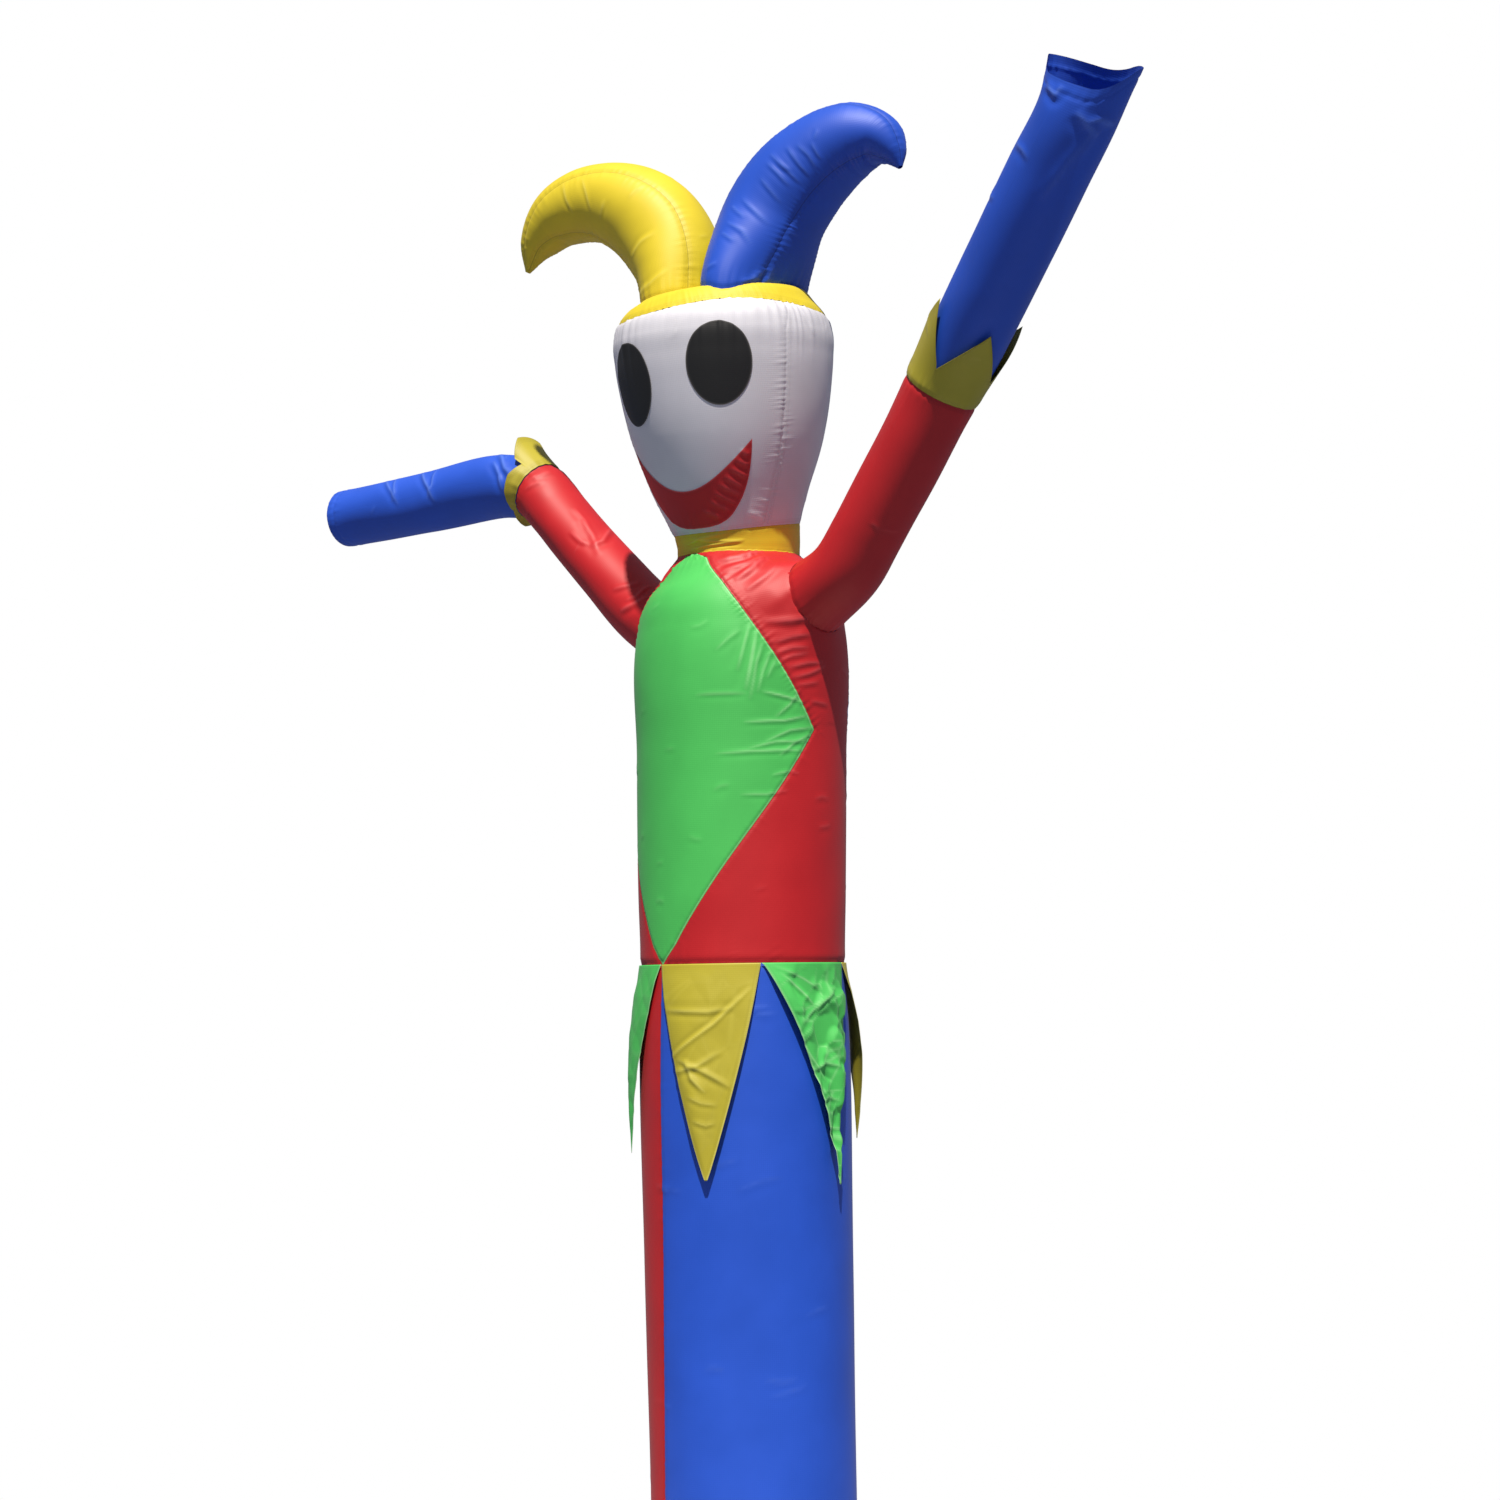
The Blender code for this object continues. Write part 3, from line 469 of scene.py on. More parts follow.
    # thin cloth lets some light through, which evens out the shade on pale panels
    behind = addNode(tree, "ShaderNodeBsdfTranslucent", Color=(shaded, 0), Normal=(bump, 0))
    mixed = addNode(tree, "ShaderNodeMixShader", {"Fac": through}, _1=(shader, 0), _2=(behind, 0))
    addNode(tree, "ShaderNodeOutputMaterial", Surface=(mixed, 0))
    made.diffuse_color = (*hexColour(cloth), 1.0)
    return made


cloths = {
    # slot of the record: nylon of that dye, with its colour where a fold has worn it, which also
    # paints the highlight along turned hems
    "red_nylon": coatedNylon("redCoatedNylon", "#C0141C", "#EC6A6E", 0.55, 0.03, 0.50, 0.05),
    "blue_nylon": coatedNylon("blueCoatedNylon", "#1E52CA", "#6F93E8", 0.52, 0.04, 0.50, 0.05),
    "green_nylon": coatedNylon("greenCoatedNylon", "#4CC45B", "#B4F2AE", 0.55, 0.04, 0.60, 0.08),
    "yellow_nylon": coatedNylon("yellowCoatedNylon", "#E6CF2A", "#F8EE86", 0.55, 0.04, 0.60, 0.10),
    "gold_nylon": coatedNylon("goldCoatedNylon", "#B6AA2C", "#E2DA72", 0.55, 0.04, 0.62, 0.08),
    "white_nylon": coatedNylon("whiteCoatedNylon", "#E6E5EE", "#F6F6FA", 0.58, 0.03, 1.06, 0.15),
    "black_nylon": coatedNylon("blackCoatedNylon", "#0B0B0C", "#6E6A68", 0.60, 0.02, 0.80, 0.0),
}
print("materials ready")

faceCount = 0


def gridFaces(rows, columns, ring):
    # four corners for each face of a grid of points
    index = np.arange(rows * columns).reshape(rows, columns)
    if ring:
        index = np.concatenate([index, index[:, :1]], axis=1)
    corners = [index[:-1, :-1], index[:-1, 1:], index[1:, 1:], index[1:, :-1]]
    return np.stack(corners, axis=-1).reshape(-1, 4)


def clothPiece(name, node, slot, points, cloth, seam, flat, held, rests, ring=False, dropped=None,
               thick=0.0):
    # a grid of points becomes one mesh; dropped marks points in an opening
    global faceCount
    faces = gridFaces(*points.shape[:2], ring)
    if dropped is not None:
        faces = faces[~dropped.reshape(-1)[faces].all(axis=1)]
    used, faces = np.unique(faces, return_inverse=True)
    faces = faces.reshape(-1, 4)
    flatPoints = points.reshape(-1, 3)[used]
    mesh = bpy.data.meshes.new(name)
    mesh.from_pydata(flatPoints.tolist(), [], faces.tolist())
    for label, values in (("cloth", cloth), ("seam", seam)):
        made = mesh.attributes.new(label, "FLOAT_VECTOR", "POINT")
        made.data.foreach_set("vector", values.reshape(-1, 3)[used].astype(np.float32).ravel())
    mesh.shade_smooth()
    mesh.materials.append(cloths[slot])
    piece = bpy.data.objects.new(name, mesh)
    bpy.context.scene.collection.objects.link(piece)
    if thick:
        shell = piece.modifiers.new("thickness", "SOLIDIFY")
        shell.thickness = thick
        shell.offset = 0.0
    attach(piece, "root")
    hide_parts(node)
    faceCount += 2 * len(faces) * (2 if thick else 1)
    print(f"{name}: {2 * len(faces)} triangles")


def stepsBetween(low, high, step):
    return np.linspace(low, high, max(2, int(round((high - low) / step)) + 1))


def easedColumns(count):
    # columns that lie closer together at both edges, where the seams are
    u = np.linspace(0.0, 1.0, count + 1)
    return u - 0.5 * np.sin(2.0 * np.pi * u) / (2.0 * np.pi)


sag = {"least": 0.010, "more": 0.0125, "leastTurn": 38.0, "fromAt": 3.00, "toAt": 3.15}


def capSag(at, turn):
    # how far the seam between head and cap hangs below its ring, and the cloth beside it too
    hang = sag["least"] + sag["more"] * (1.0 - np.cos(2.0 * np.radians(turn - sag["leastTurn"])))
    return hang * np.interp(at, (sag["fromAt"], crownAt, sag["toAt"]), (0.0, 1.0, 0.0))


def sheetOn(tube, at, turn, lift, crease, away, run):
    # A grid of points on a tube. The material reads two more values at each: its place on the cloth
    # with how creased it is, which also carries the painted highlight along turned hems, and how far
    # off the nearest sewn edge is, with the run along it, in mm.
    cloth = np.stack([turn * tube.perDegree(at), at, crease], axis=-1)
    seam = np.stack([away, run, 0.0 * at], axis=-1)
    return tube.place(at, turn, lift), cloth, seam


def panelOnTube(tube, atRows, left, right, columns, ends, sides):
    # a panel between two lines; ends and sides say which of its edges are sewn
    across = easedColumns(columns)
    at = np.repeat(atRows[:, None], columns + 1, axis=1)
    leftEdge, rightEdge = left(atRows)[:, None], right(atRows)[:, None]
    turn = leftEdge + (rightEdge - leftEdge) * across
    at = at - capSag(at, turn)
    perDegree = tube.perDegree(at)
    nearest, runs = np.full(at.shape, 99.0), np.zeros(at.shape)
    for isSewn, away, run in (
        (sides, (turn - leftEdge) * perDegree, at),
        (sides, (rightEdge - turn) * perDegree, at),
        (ends[0], at - at[0], turn * perDegree),
        (ends[1], at[-1] - at, turn * perDegree),
    ):
        closer = isSewn & (away / mm < nearest)
        nearest = np.where(closer, away / mm, nearest)
        runs = np.where(closer, run / mm, runs)
    return sheetOn(tube, at, turn, *tube.lift(at, turn), nearest, runs)


# Leg and torso: the big blown-up tube

trunk = ClothTube(trunkRound)
frontHalf = easeTable([(1.65, 0.5), (1.69, 10.0), (2.14, 84.0), (2.28, 62.0), (2.40, 42.5),
                       (2.455, 32.0), (2.515, 18.0), (2.54, 0.5)])
backHalf = easeTable([(1.65, 0.5), (2.20, 54.0), (2.31, 46.0), (2.40, 36.0), (2.455, 28.0),
                      (2.515, 16.0), (2.54, 0.5)])
faceHalf = easeTable([(2.60, 55.0), (2.66, 60.0), (2.72, 63.5), (3.00, 64.0), (3.08, 69.0)])

trunkLooks = {
    # Sizes in mm. Left and right: pitch, reach and height of the puckers on that side, and their slant.
    # Where: how strong they are by place along the tube.
    "legSeam": {"dip": 1.2, "dipWidth": 5, "seed": 11, "left": (17, 16, 0.9, 0), "right": (17, 20, 0.9, 0)},
    "lozengeSeam": {"dip": 1.8, "dipWidth": 5, "seed": 23, "left": (12, 13, 1.8, 0),
                    "right": (12, 18, 1.6, 0),
                    "leftWhere": [(1.7, 0.25), (2.05, 0.4), (2.156, 1.0), (2.3, 1.5), (2.42, 2.6)],
                    "rightWhere": [(1.7, 0.25), (2.05, 0.4), (2.156, 1.0), (2.3, 1.3), (2.42, 2.0)]},
    "backSeam": {"dip": 1.8, "dipWidth": 5, "seed": 37, "left": (14, 16, 1.6, 0), "right": (14, 16, 1.4, 0)},
    "waistSeam": {"dip": 3, "dipWidth": 9, "seed": 41, "left": (20, 22, 1.3, 0), "right": (18, 30, 1.4, 0)},
    "neckSeam": {"dip": 2, "dipWidth": 6, "seed": 53, "left": (21, 50, 2.2, 0), "right": (18, 10, 0.8, 0)},
    "chinSeam": {"dip": 1.6, "dipWidth": 5, "seed": 59, "left": (20, 10, 0.8, 0), "right": (19, 50, 1.8, 0)},
    "faceSeam": {"dip": 1.4, "dipWidth": 4, "seed": 61, "left": (12.5, 22, 1.3, 0.1),
                 "right": (12.5, 24, 1.2, -0.1),
                 "leftWhere": [(2.6, 1.1), (2.72, 1.0), (2.93, 0.9), (2.98, 0.3), (3.08, 0.1)],
                 "rightWhere": [(2.6, 1.1), (2.80, 0.9), (2.88, 0.2), (3.08, 0.1)]},
    "napeSeam": {"dip": 1.4, "dipWidth": 4, "seed": 67, "left": (13, 26, 1.8, 0), "right": (13, 26, 1.8, 0)},
    "crownSeam": {"dip": 2.5, "dipWidth": 6, "seed": 71, "left": (18, 80, 4.0, 0),
                  "right": (14, 40, 1.2, 0.5)},
}
trunkSeams = {
    # seams along the tube: from, to and the one or two lines on which they lie
    "legSeam": (0.0, waistAt, [seamLine(0.0), seamLine(180.0)]),
    "lozengeSeam": (waistAt, collarFootAt, [seamLine(0.0, frontHalf), seamLine(0.0, frontHalf, -1)]),
    "backSeam": (waistAt, collarFootAt, [seamLine(180.0, backHalf, -1), seamLine(180.0, backHalf)]),
    "faceSeam": (collarTopAt, crownAt, [seamLine(0.0, faceHalf), seamLine(0.0, faceHalf, -1)]),
    "napeSeam": (collarTopAt, crownAt, [seamLine(180.0)]),
}
trunk.relief = [
    unevenness(1.3 * mm, 0.16, 0.30, 5),
    *[edgeSeam(line, low, high, reseeded(trunkLooks[name], number))
      for name, (low, high, lines) in trunkSeams.items() for number, line in enumerate(lines)],
    ringSeam(waistAt, trunkLooks["waistSeam"]),
    ringSeam(collarFootAt, trunkLooks["neckSeam"]),
    ringSeam(collarTopAt, trunkLooks["chinSeam"]),
    ringSeam(crownAt, trunkLooks["crownSeam"], lambda turn: capSag(crownAt, turn)),
    scatteredCreases(34, (0.15, 1.6), (0.0, 360.0), (-14.0, 14.0), (0.04, 0.11), 0.8 * mm, 8 * mm, 81, 0.12),
    scatteredCreases(30, (1.75, 2.35), (85.0, 320.0), (-35.0, 35.0), (0.03, 0.08), 1.2 * mm, 7 * mm, 83, 0.2),
    scatteredCreases(10, (1.75, 2.45), (-60.0, 60.0), (-25.0, 25.0), (0.02, 0.05), 0.7 * mm, 6 * mm, 85, 0.1),
    scatteredCreases(16, (2.64, 3.0), (80.0, 300.0), (-35.0, 35.0), (0.02, 0.06), 1.0 * mm, 6 * mm, 87, 0.2),
]
trunkFolds = {
    # height and width of each fold in mm, how pale it is, then its places along and round the tube
    "underArm": [(2.2, 13.0, 0.0, [(2.38, 55), (2.42, 69), (2.455, 84)]),
                 (3.2, 7.0, 0.4, [(2.36, 54), (2.355, 67), (2.36, 80), (2.35, 89)]),
                 (2.0, 6.0, 0.3, [(2.315, 58), (2.325, 68), (2.33, 79)]),
                 (1.8, 6.0, 0.3, [(2.295, 59), (2.305, 69), (2.305, 78)]),
                 (1.5, 6.0, 0.3, [(2.28, 61), (2.29, 69), (2.295, 78)]),
                 (1.8, 6.0, 0.3, [(2.265, 66), (2.275, 77), (2.28, 89)]),
                 (1.8, 6.0, 0.3, [(2.245, 69), (2.255, 79), (2.275, 91)]),
                 (1.2, 6.0, 0.2, [(2.23, 71), (2.24, 86)]),
                 (1.2, 6.0, 0.2, [(2.20, 80), (2.195, 94)])],
    "fan": [(2.2, 7.0, 0.3, [(2.36, 48), (2.31, 44), (2.255, 40)]),
            (3.2, 8.0, 0.4, [(2.34, 51), (2.29, 48), (2.215, 44)]),
            (2.4, 7.0, 0.3, [(2.32, 54), (2.275, 50), (2.195, 46)]),
            (2.0, 6.0, 0.3, [(2.30, 58), (2.255, 53), (2.21, 50)]),
            (1.5, 6.0, 0.2, [(2.285, 61), (2.265, 58), (2.24, 55)])],
    "side": [(1.3, 5.0, 0.5, [(2.215, 52), (2.205, 65), (2.195, 77)]),
             (1.3, 5.0, 0.5, [(2.15, 42), (2.155, 65), (2.17, 81)]),
             (1.2, 5.0, 0.4, [(2.11, 54), (2.135, 68), (2.145, 84)]),
             (1.2, 5.0, 0.4, [(2.095, 45), (2.11, 60), (2.115, 82)]),
             (1.2, 5.0, 0.4, [(2.085, 28), (2.09, 52), (2.095, 79)]),
             (1.2, 5.0, 0.4, [(2.16, 59), (2.19, 68), (2.225, 74)]),
             (1.0, 5.0, 0.4, [(2.08, 62), (2.11, 71), (2.13, 81)]),
             (0.9, 5.0, 0.3, [(2.04, 58), (2.05, 69), (2.045, 75)]),
             (0.9, 5.0, 0.3, [(2.00, 42), (2.00, 56), (2.01, 69)])],
    "lozenge": [(0.8, 5.0, 0.3, [(2.21, 17), (2.21, 45)]),
                (1.0, 6.0, 0.2, [(2.30, 29), (2.325, 36), (2.345, 43)])],
    "chest": [(3.5, 6.0, 0.4, [(2.50, 26), (2.51, 45), (2.53, 68)]),
              (3.5, 7.0, 0.3, [(2.475, 32), (2.49, 48), (2.51, 64)]),
              (4.5, 7.0, 0.4, [(2.45, 40), (2.475, 50), (2.505, 62)]),
              (2.5, 6.0, 0.3, [(2.425, 46), (2.45, 56), (2.475, 66)])],
    "collar": [(2.2, 5.0, 0.3, [(2.545, -14), (2.56, 9), (2.57, 43)]),
               (1.5, 5.0, 0.3, [(2.595, -17), (2.575, 14), (2.57, 43)]),
               (1.5, 5.0, 0.3, [(2.565, -23), (2.59, -4), (2.595, 22)])],
    "mouth": [(2.2, 6.0, 0.3, [(2.755, 37), (2.745, 43)]),
              (2.2, 6.0, 0.3, [(2.74, 33), (2.725, 43)]),
              (2.4, 6.0, 0.3, [(2.725, 29), (2.70, 42)]),
              (2.4, 6.0, 0.3, [(2.71, 25), (2.68, 39)]),
              (2.2, 6.0, 0.3, [(2.695, 20), (2.665, 38)]),
              (2.0, 6.0, 0.2, [(2.68, 16), (2.65, 34)]),
              (1.6, 6.0, 0.2, [(2.665, 11), (2.64, 28)]),
              (1.4, 6.0, 0.2, [(2.65, 4), (2.63, 20)])],
    "head": [(1.2, 6.0, 0.2, [(3.03, 8), (3.005, 6), (2.985, 4)]),
             (1.4, 6.0, 0.2, [(3.05, 76), (3.025, 79), (2.99, 83)]),
             (1.5, 6.0, 0.2, [(2.635, 38), (2.625, 47), (2.615, 55)])],
    "leg": [(0.9, 8.0, 0.2, [(1.565, 27), (1.555, 49), (1.56, 65)])],
}
trunk.relief += foldsOf(trunkFolds)

# The horns and arms that come out of the tube


def hornTube(rows, side):
    # a curl in one plane, which goes out from the middle of the crown
    c, s = math.cos(math.radians(faceTurn)), math.sin(math.radians(faceTurn))
    x, y = crownMiddle
    return ClothTube([(at, x + side * away * c, y + side * away * s, *rest) for at, away, *rest in rows],
                     front=(s, -c, 0.0))


def surfaceTree(tube, atLow, atHigh, atStep, turnStep):
    # the tube's skin as a search tree, facing outwards
    rows, turns = stepsBetween(atLow, atHigh, atStep), np.arange(0.0, 360.0, turnStep)
    at, turn = np.meshgrid(rows, turns, indexing="ij")
    lift, _ = tube.lift(at, turn)
    points = tube.place(at, turn, lift).reshape(-1, 3)
    return BVHTree.FromPolygons(points.tolist(), gridFaces(*at.shape, ring=True).tolist())


def pointTree(points):
    # some points as a search tree
    tree = KDTree(len(points))
    for i, p in enumerate(points):
        tree.insert(Vector(p), i)
    tree.balance()
    return tree


def depthOutside(tree, points):
    # signed distance: less than nothing inside
    out = np.empty(len(points))
    for i, p in enumerate(points):
        spot, normal, _, distance = tree.find_nearest(Vector(p))
        out[i] = distance if (Vector(p) - spot).dot(normal) > 0.0 else -distance
    return out


def startOnTrunk(tube, tree, reach, turns):
    # for each turn, where the tube's skin leaves the trunk
    steps = np.arange(0.0, reach, 3 * mm)
    starts = []
    for turn in turns:
        points = tube.place(steps, np.full(steps.shape, turn), np.zeros(steps.shape))
        depth = depthOutside(tree, points)
        inside = np.nonzero(depth < 0.0)[0]
        k = min(inside[-1] if len(inside) else 0, len(steps) - 2)
        share = depth[k] / (depth[k] - depth[k + 1]) if depth[k + 1] != depth[k] else 0.0
        starts.append(steps[k] + 3 * mm * min(max(share, 0.0), 1.0))
    return np.array(starts)


swellLooks = {
    # The air swells the trunk's cloth out into the sleeves. Share of that which goes sideways, how far
    # it dies away over the trunk and up the sleeve, and the mm beside a seam over which it is held.
    "flare": 0.10, "overTrunk": 0.05, "upSleeve": 0.035, "heldMm": 75.0,
}


def openingOf(tube, starts, turns, reach, swell):
    # what the trunk's panels need in order to leave the tube's foot open. They swell out along the
    # tube by swell, which has a value for each turn, before the seam.
    foot = tube.place(starts - 1 * mm, turns, np.zeros(starts.shape))
    rim = tube.place(starts - 1 * mm + swell, turns, swellLooks["flare"] * swell)
    middle = foot.mean(axis=0)
    return {"tree": surfaceTree(tube, 0.0, reach, 6 * mm, 5.0), "foot": pointTree(foot), "middle": middle,
            "room": np.linalg.norm(foot - middle, axis=1).max() + 0.03,
            "footPoints": foot, "rimPoints": rim, "swell": swell}


def cutOpening(points, opening, dropped, toSeam):
    # drop what lies in the opening, pull the ragged edge on to the rim, and swell the cloth round it
    # except where it is sewn to the next panel
    flatPoints = points.reshape(-1, 3)
    free = np.clip(toSeam.reshape(-1) / swellLooks["heldMm"], 0.0, 1.0)
    free = free * free * (3.0 - 2.0 * free)
    spread = swellLooks["overTrunk"]
    away = np.linalg.norm(flatPoints - opening["middle"], axis=1)
    inside = np.zeros(len(flatPoints), bool)
    which = np.nonzero(away < opening["room"])[0]
    if len(which):
        inside[which] = depthOutside(opening["tree"], flatPoints[which]) < 0.0
    grid = inside.reshape(points.shape[:2])
    beside = np.zeros(grid.shape, bool)
    for down in (-1, 0, 1):
        for aside in (-1, 0, 1):
            beside |= np.roll(~grid, (down, aside), axis=(0, 1))
    edge = (grid & beside).reshape(-1)
    near = (away < opening["room"] + 3.0 * spread) & (edge | ~inside)
    for i in np.nonzero(near)[0]:
        _, j, gap = opening["foot"].find(Vector(flatPoints[i]))
        if edge[i]:
            flatPoints[i] = opening["rimPoints"][j]
        elif opening["swell"][j] > 0.0:
            pull = free[i] * math.exp(-gap / spread)
            flatPoints[i] += (opening["rimPoints"][j] - opening["footPoints"][j]) * pull
    return dropped | grid


branches = {
    # the tube, the root that it has, and how far the trunk's cloth swells out along it: in the middle,
    # and how much more towards the front and the underside
    "armLeft": {"tube": ClothTube(armLeftRows), "root": "arm", "swell": (0.024, 0.008)},
    "armRight": {"tube": ClothTube(armRightRows), "root": "arm", "swell": (0.012, 0.006)},
    "hornBlue": {"tube": hornTube(hornBlueRows, 1), "root": "horn", "swell": (0.0, 0.0)},
    "hornYellow": {"tube": hornTube(hornYellowRows, -1), "root": "horn", "swell": (0.0, 0.0)},
}
roots = {
    # the turns of the branch's columns, how far along it the seam can lie, and the trunk's skin there
    "arm": {"turns": np.linspace(0.0, 360.0, 113)[:-1], "reach": 0.36,
            "skin": surfaceTree(trunk, 2.12, 2.56, 5 * mm, 1.5)},
    "horn": {"turns": np.linspace(-45.0, 315.0, 145), "reach": 0.16,
             "skin": surfaceTree(trunk, 2.98, 3.284, 5 * mm, 2.0)},
}
starts, swells, openings = {}, {}, {}
for name, branch in branches.items():
    root, tube = roots[branch["root"]], branch["tube"]
    start = startOnTrunk(tube, root["skin"], root["reach"], root["turns"])
    swells[name] = branch["swell"][0] + branch["swell"][1] * np.cos(np.radians(root["turns"] + 20.0))
    openings[name] = openingOf(tube, start, root["turns"], root["reach"] + 0.04, swells[name])
    starts[name] = start + swells[name]
print("seams between the tubes found")


def startSeam(turns, starts, looks):
    # the seam at the foot of an arm or horn, where it is sewn into the trunk
    def part(tube, at, turn):
        away = at - roundTable(turns, starts)(turn)
        run = (turn % 360.0) * np.pi / 180.0 * float(tube.radius(starts.mean()))
        puckers = gathers(run, np.maximum(away, 0.0), *looks["puckers"], looks["seed"])
        return seamDip(away, looks) + puckers, 0.0 * at
    return part


panels = {
    # Rows: from, to and step. Flat: width, length and area. Pale line: how pale, then how far it is
    # from the seam and half its width, in mm.
    "legBlue": {"node": "leg_blue", "slot": "blue_nylon", "rows": (0.0, waistAt, 0.0075), "columns": 92,
                "edges": (seamLine(0.0), seamLine(180.0)),
                "flat": (0.70, 1.655, 1.151), "rests": ["leg_red"]},
    "legRed": {"node": "leg_red", "slot": "red_nylon", "rows": (0.0, waistAt, 0.0075), "columns": 92,
               "edges": (seamLine(180.0), seamLine(360.0)),
               "flat": (0.70, 1.655, 1.150), "rests": ["leg_blue"]},
    "torsoFront": {"node": "torso_front", "slot": "green_nylon", "rows": (waistAt, collarFootAt, 0.0036),
                   "columns": 104, "edges": (seamLine(0.0, frontHalf, -1), frontHalf),
                   "flat": (0.66, 0.90, 0.314), "rests": ["torso_left", "torso_right"],
                   "paleLine": (0.55, 2.8, 1.5)},
    "torsoBack": {"node": "torso_back", "slot": "blue_nylon", "rows": (waistAt, collarFootAt, 0.0045),
                  "columns": 70, "edges": (seamLine(180.0, backHalf, -1), seamLine(180.0, backHalf)),
                  "flat": (0.43, 0.90, 0.217), "rests": ["torso_left", "torso_right"]},
    "torsoLeft": {"node": "torso_left", "slot": "red_nylon", "rows": (waistAt, collarFootAt, 0.0036),
                  "columns": 104, "edges": (frontHalf, seamLine(180.0, backHalf, -1)),
                  "flat": (0.70, 0.90, 0.345), "rests": ["torso_front", "torso_back"], "cuts": ["armLeft"]},
    "torsoRight": {"node": "torso_right", "slot": "red_nylon", "rows": (waistAt, collarFootAt, 0.0036),
                   "columns": 104, "edges": (seamLine(180.0, backHalf), seamLine(360.0, frontHalf, -1)),
                   "flat": (0.70, 0.90, 0.345), "rests": ["torso_front", "torso_back"], "cuts": ["armRight"]},
    "collar": {"node": "collar", "slot": "yellow_nylon", "rows": (collarFootAt, collarTopAt, 0.003),
               "columns": 216, "edges": (seamLine(0.0), seamLine(360.0)),
               "flat": (0.87, 0.063, 0.054), "rests": ["torso_left", "torso_right"]},
    "headFace": {"node": "head_face", "slot": "white_nylon", "rows": (collarTopAt, crownAt, 0.0029),
                 "columns": 100, "edges": (seamLine(0.0, faceHalf, -1), faceHalf),
                 "flat": (0.54, 0.50, 0.242), "rests": ["collar"]},
    "headLeft": {"node": "head_back_left", "slot": "white_nylon", "rows": (collarTopAt, crownAt, 0.0029),
                 "columns": 84, "edges": (faceHalf, seamLine(180.0)),
                 "flat": (0.49, 0.53, 0.213), "rests": ["collar"]},
    "headRight": {"node": "head_back_right", "slot": "white_nylon", "rows": (collarTopAt, crownAt, 0.0029),
                  "columns": 84, "edges": (seamLine(180.0), seamLine(360.0, faceHalf, -1)),
                  "flat": (0.49, 0.53, 0.217), "rests": ["collar"]},
    "cap": {"node": "cap", "slot": "yellow_nylon", "rows": (crownAt, capTopAt, 0.0038), "columns": 300,
            "edges": (seamLine(0.0), seamLine(360.0)),
            "flat": (0.43, 0.43, 0.066), "rests": ["head_face", "head_back_left", "head_back_right"],
            "cuts": ["hornBlue", "hornYellow"]},
}
for name, panel in panels.items():
    whole = name in ("collar", "cap")
    points, cloth, seam = panelOnTube(trunk, stepsBetween(*panel["rows"]), *panel["edges"], panel["columns"],
                                      ends=(name[:3] != "leg", name != "cap"), sides=not whole)
    dropped = np.zeros(points.shape[:2], bool)
    for label in panel.get("cuts", []):
        dropped = cutOpening(points, openings[label], dropped, seam[..., 0])
    if "paleLine" in panel:
        pale, fromSeam, halfWidth = panel["paleLine"]
        line = pale * np.exp(-(((seam[..., 0] - fromSeam) / halfWidth) ** 2))
        cloth[..., 2] = np.maximum(cloth[..., 2], line)
    if whole:
        points, cloth, seam, dropped = points[:, :-1], cloth[:, :-1], seam[:, :-1], dropped[:, :-1]
    clothPiece(name, panel["node"], panel["slot"], points, cloth, seam, panel["flat"], "stretched",
               panel["rests"], ring=whole, dropped=dropped)

# Eyes and mouth, sewn flat on the face

facePatch = {"stand": 1.2 * mm, "eyes": {"eyeLeft": (27.3, 2.933), "eyeRight": (-29.5, 2.909)},
             "eyeHalfTurn": 17.2, "eyeHalfHeight": 0.085, "mouthTurn": -4.0, "mouthHalfTurn": 48.0,
             "mouthCorner": 2.779, "mouthTop": 2.688, "mouthFoot": 2.613, "mouthJaw": 2.7,
             "hemMm": 2.0, "hemHighlight": 0.8}


def patchOnFace(name, node, slot, at, turn, flat):
    # the edge is turned in, and a painted highlight along that hem stands for the light it catches
    lift, crease = trunk.lift(at, turn)
    skin = trunk.skin(at, turn)
    rim = pointTree(np.concatenate([skin[0], skin[-1], skin[:, 0], skin[:, -1]]))
    away = np.array([rim.find(Vector(p))[2] for p in skin.reshape(-1, 3)]).reshape(at.shape) / mm
    hem = facePatch["hemHighlight"] * np.exp(-((away / facePatch["hemMm"]) ** 2))
    sheet = sheetOn(trunk, at, turn, lift + facePatch["stand"], np.maximum(crease, hem),
                    away + facePatch["hemMm"], at / mm)
    clothPiece(name, node, slot, *sheet, flat, "stretched", ["head_face"])


def eyeGrid(middleTurn, middleAt):
    swing = np.radians(np.linspace(-89.0, 89.0, 61))[:, None]
    across = np.linspace(-1.0, 1.0, 45)[None, :]
    at = middleAt + facePatch["eyeHalfHeight"] * np.sin(swing) + 0.0 * across
    turn = middleTurn + facePatch["eyeHalfTurn"] * np.cos(swing) * across
    return at, turn


for name, node in (("eyeLeft", "eye_left"), ("eyeRight", "eye_right")):
    patchOnFace(name, node, "black_nylon", *eyeGrid(*facePatch["eyes"][name]), (0.143, 0.170, 0.0196))

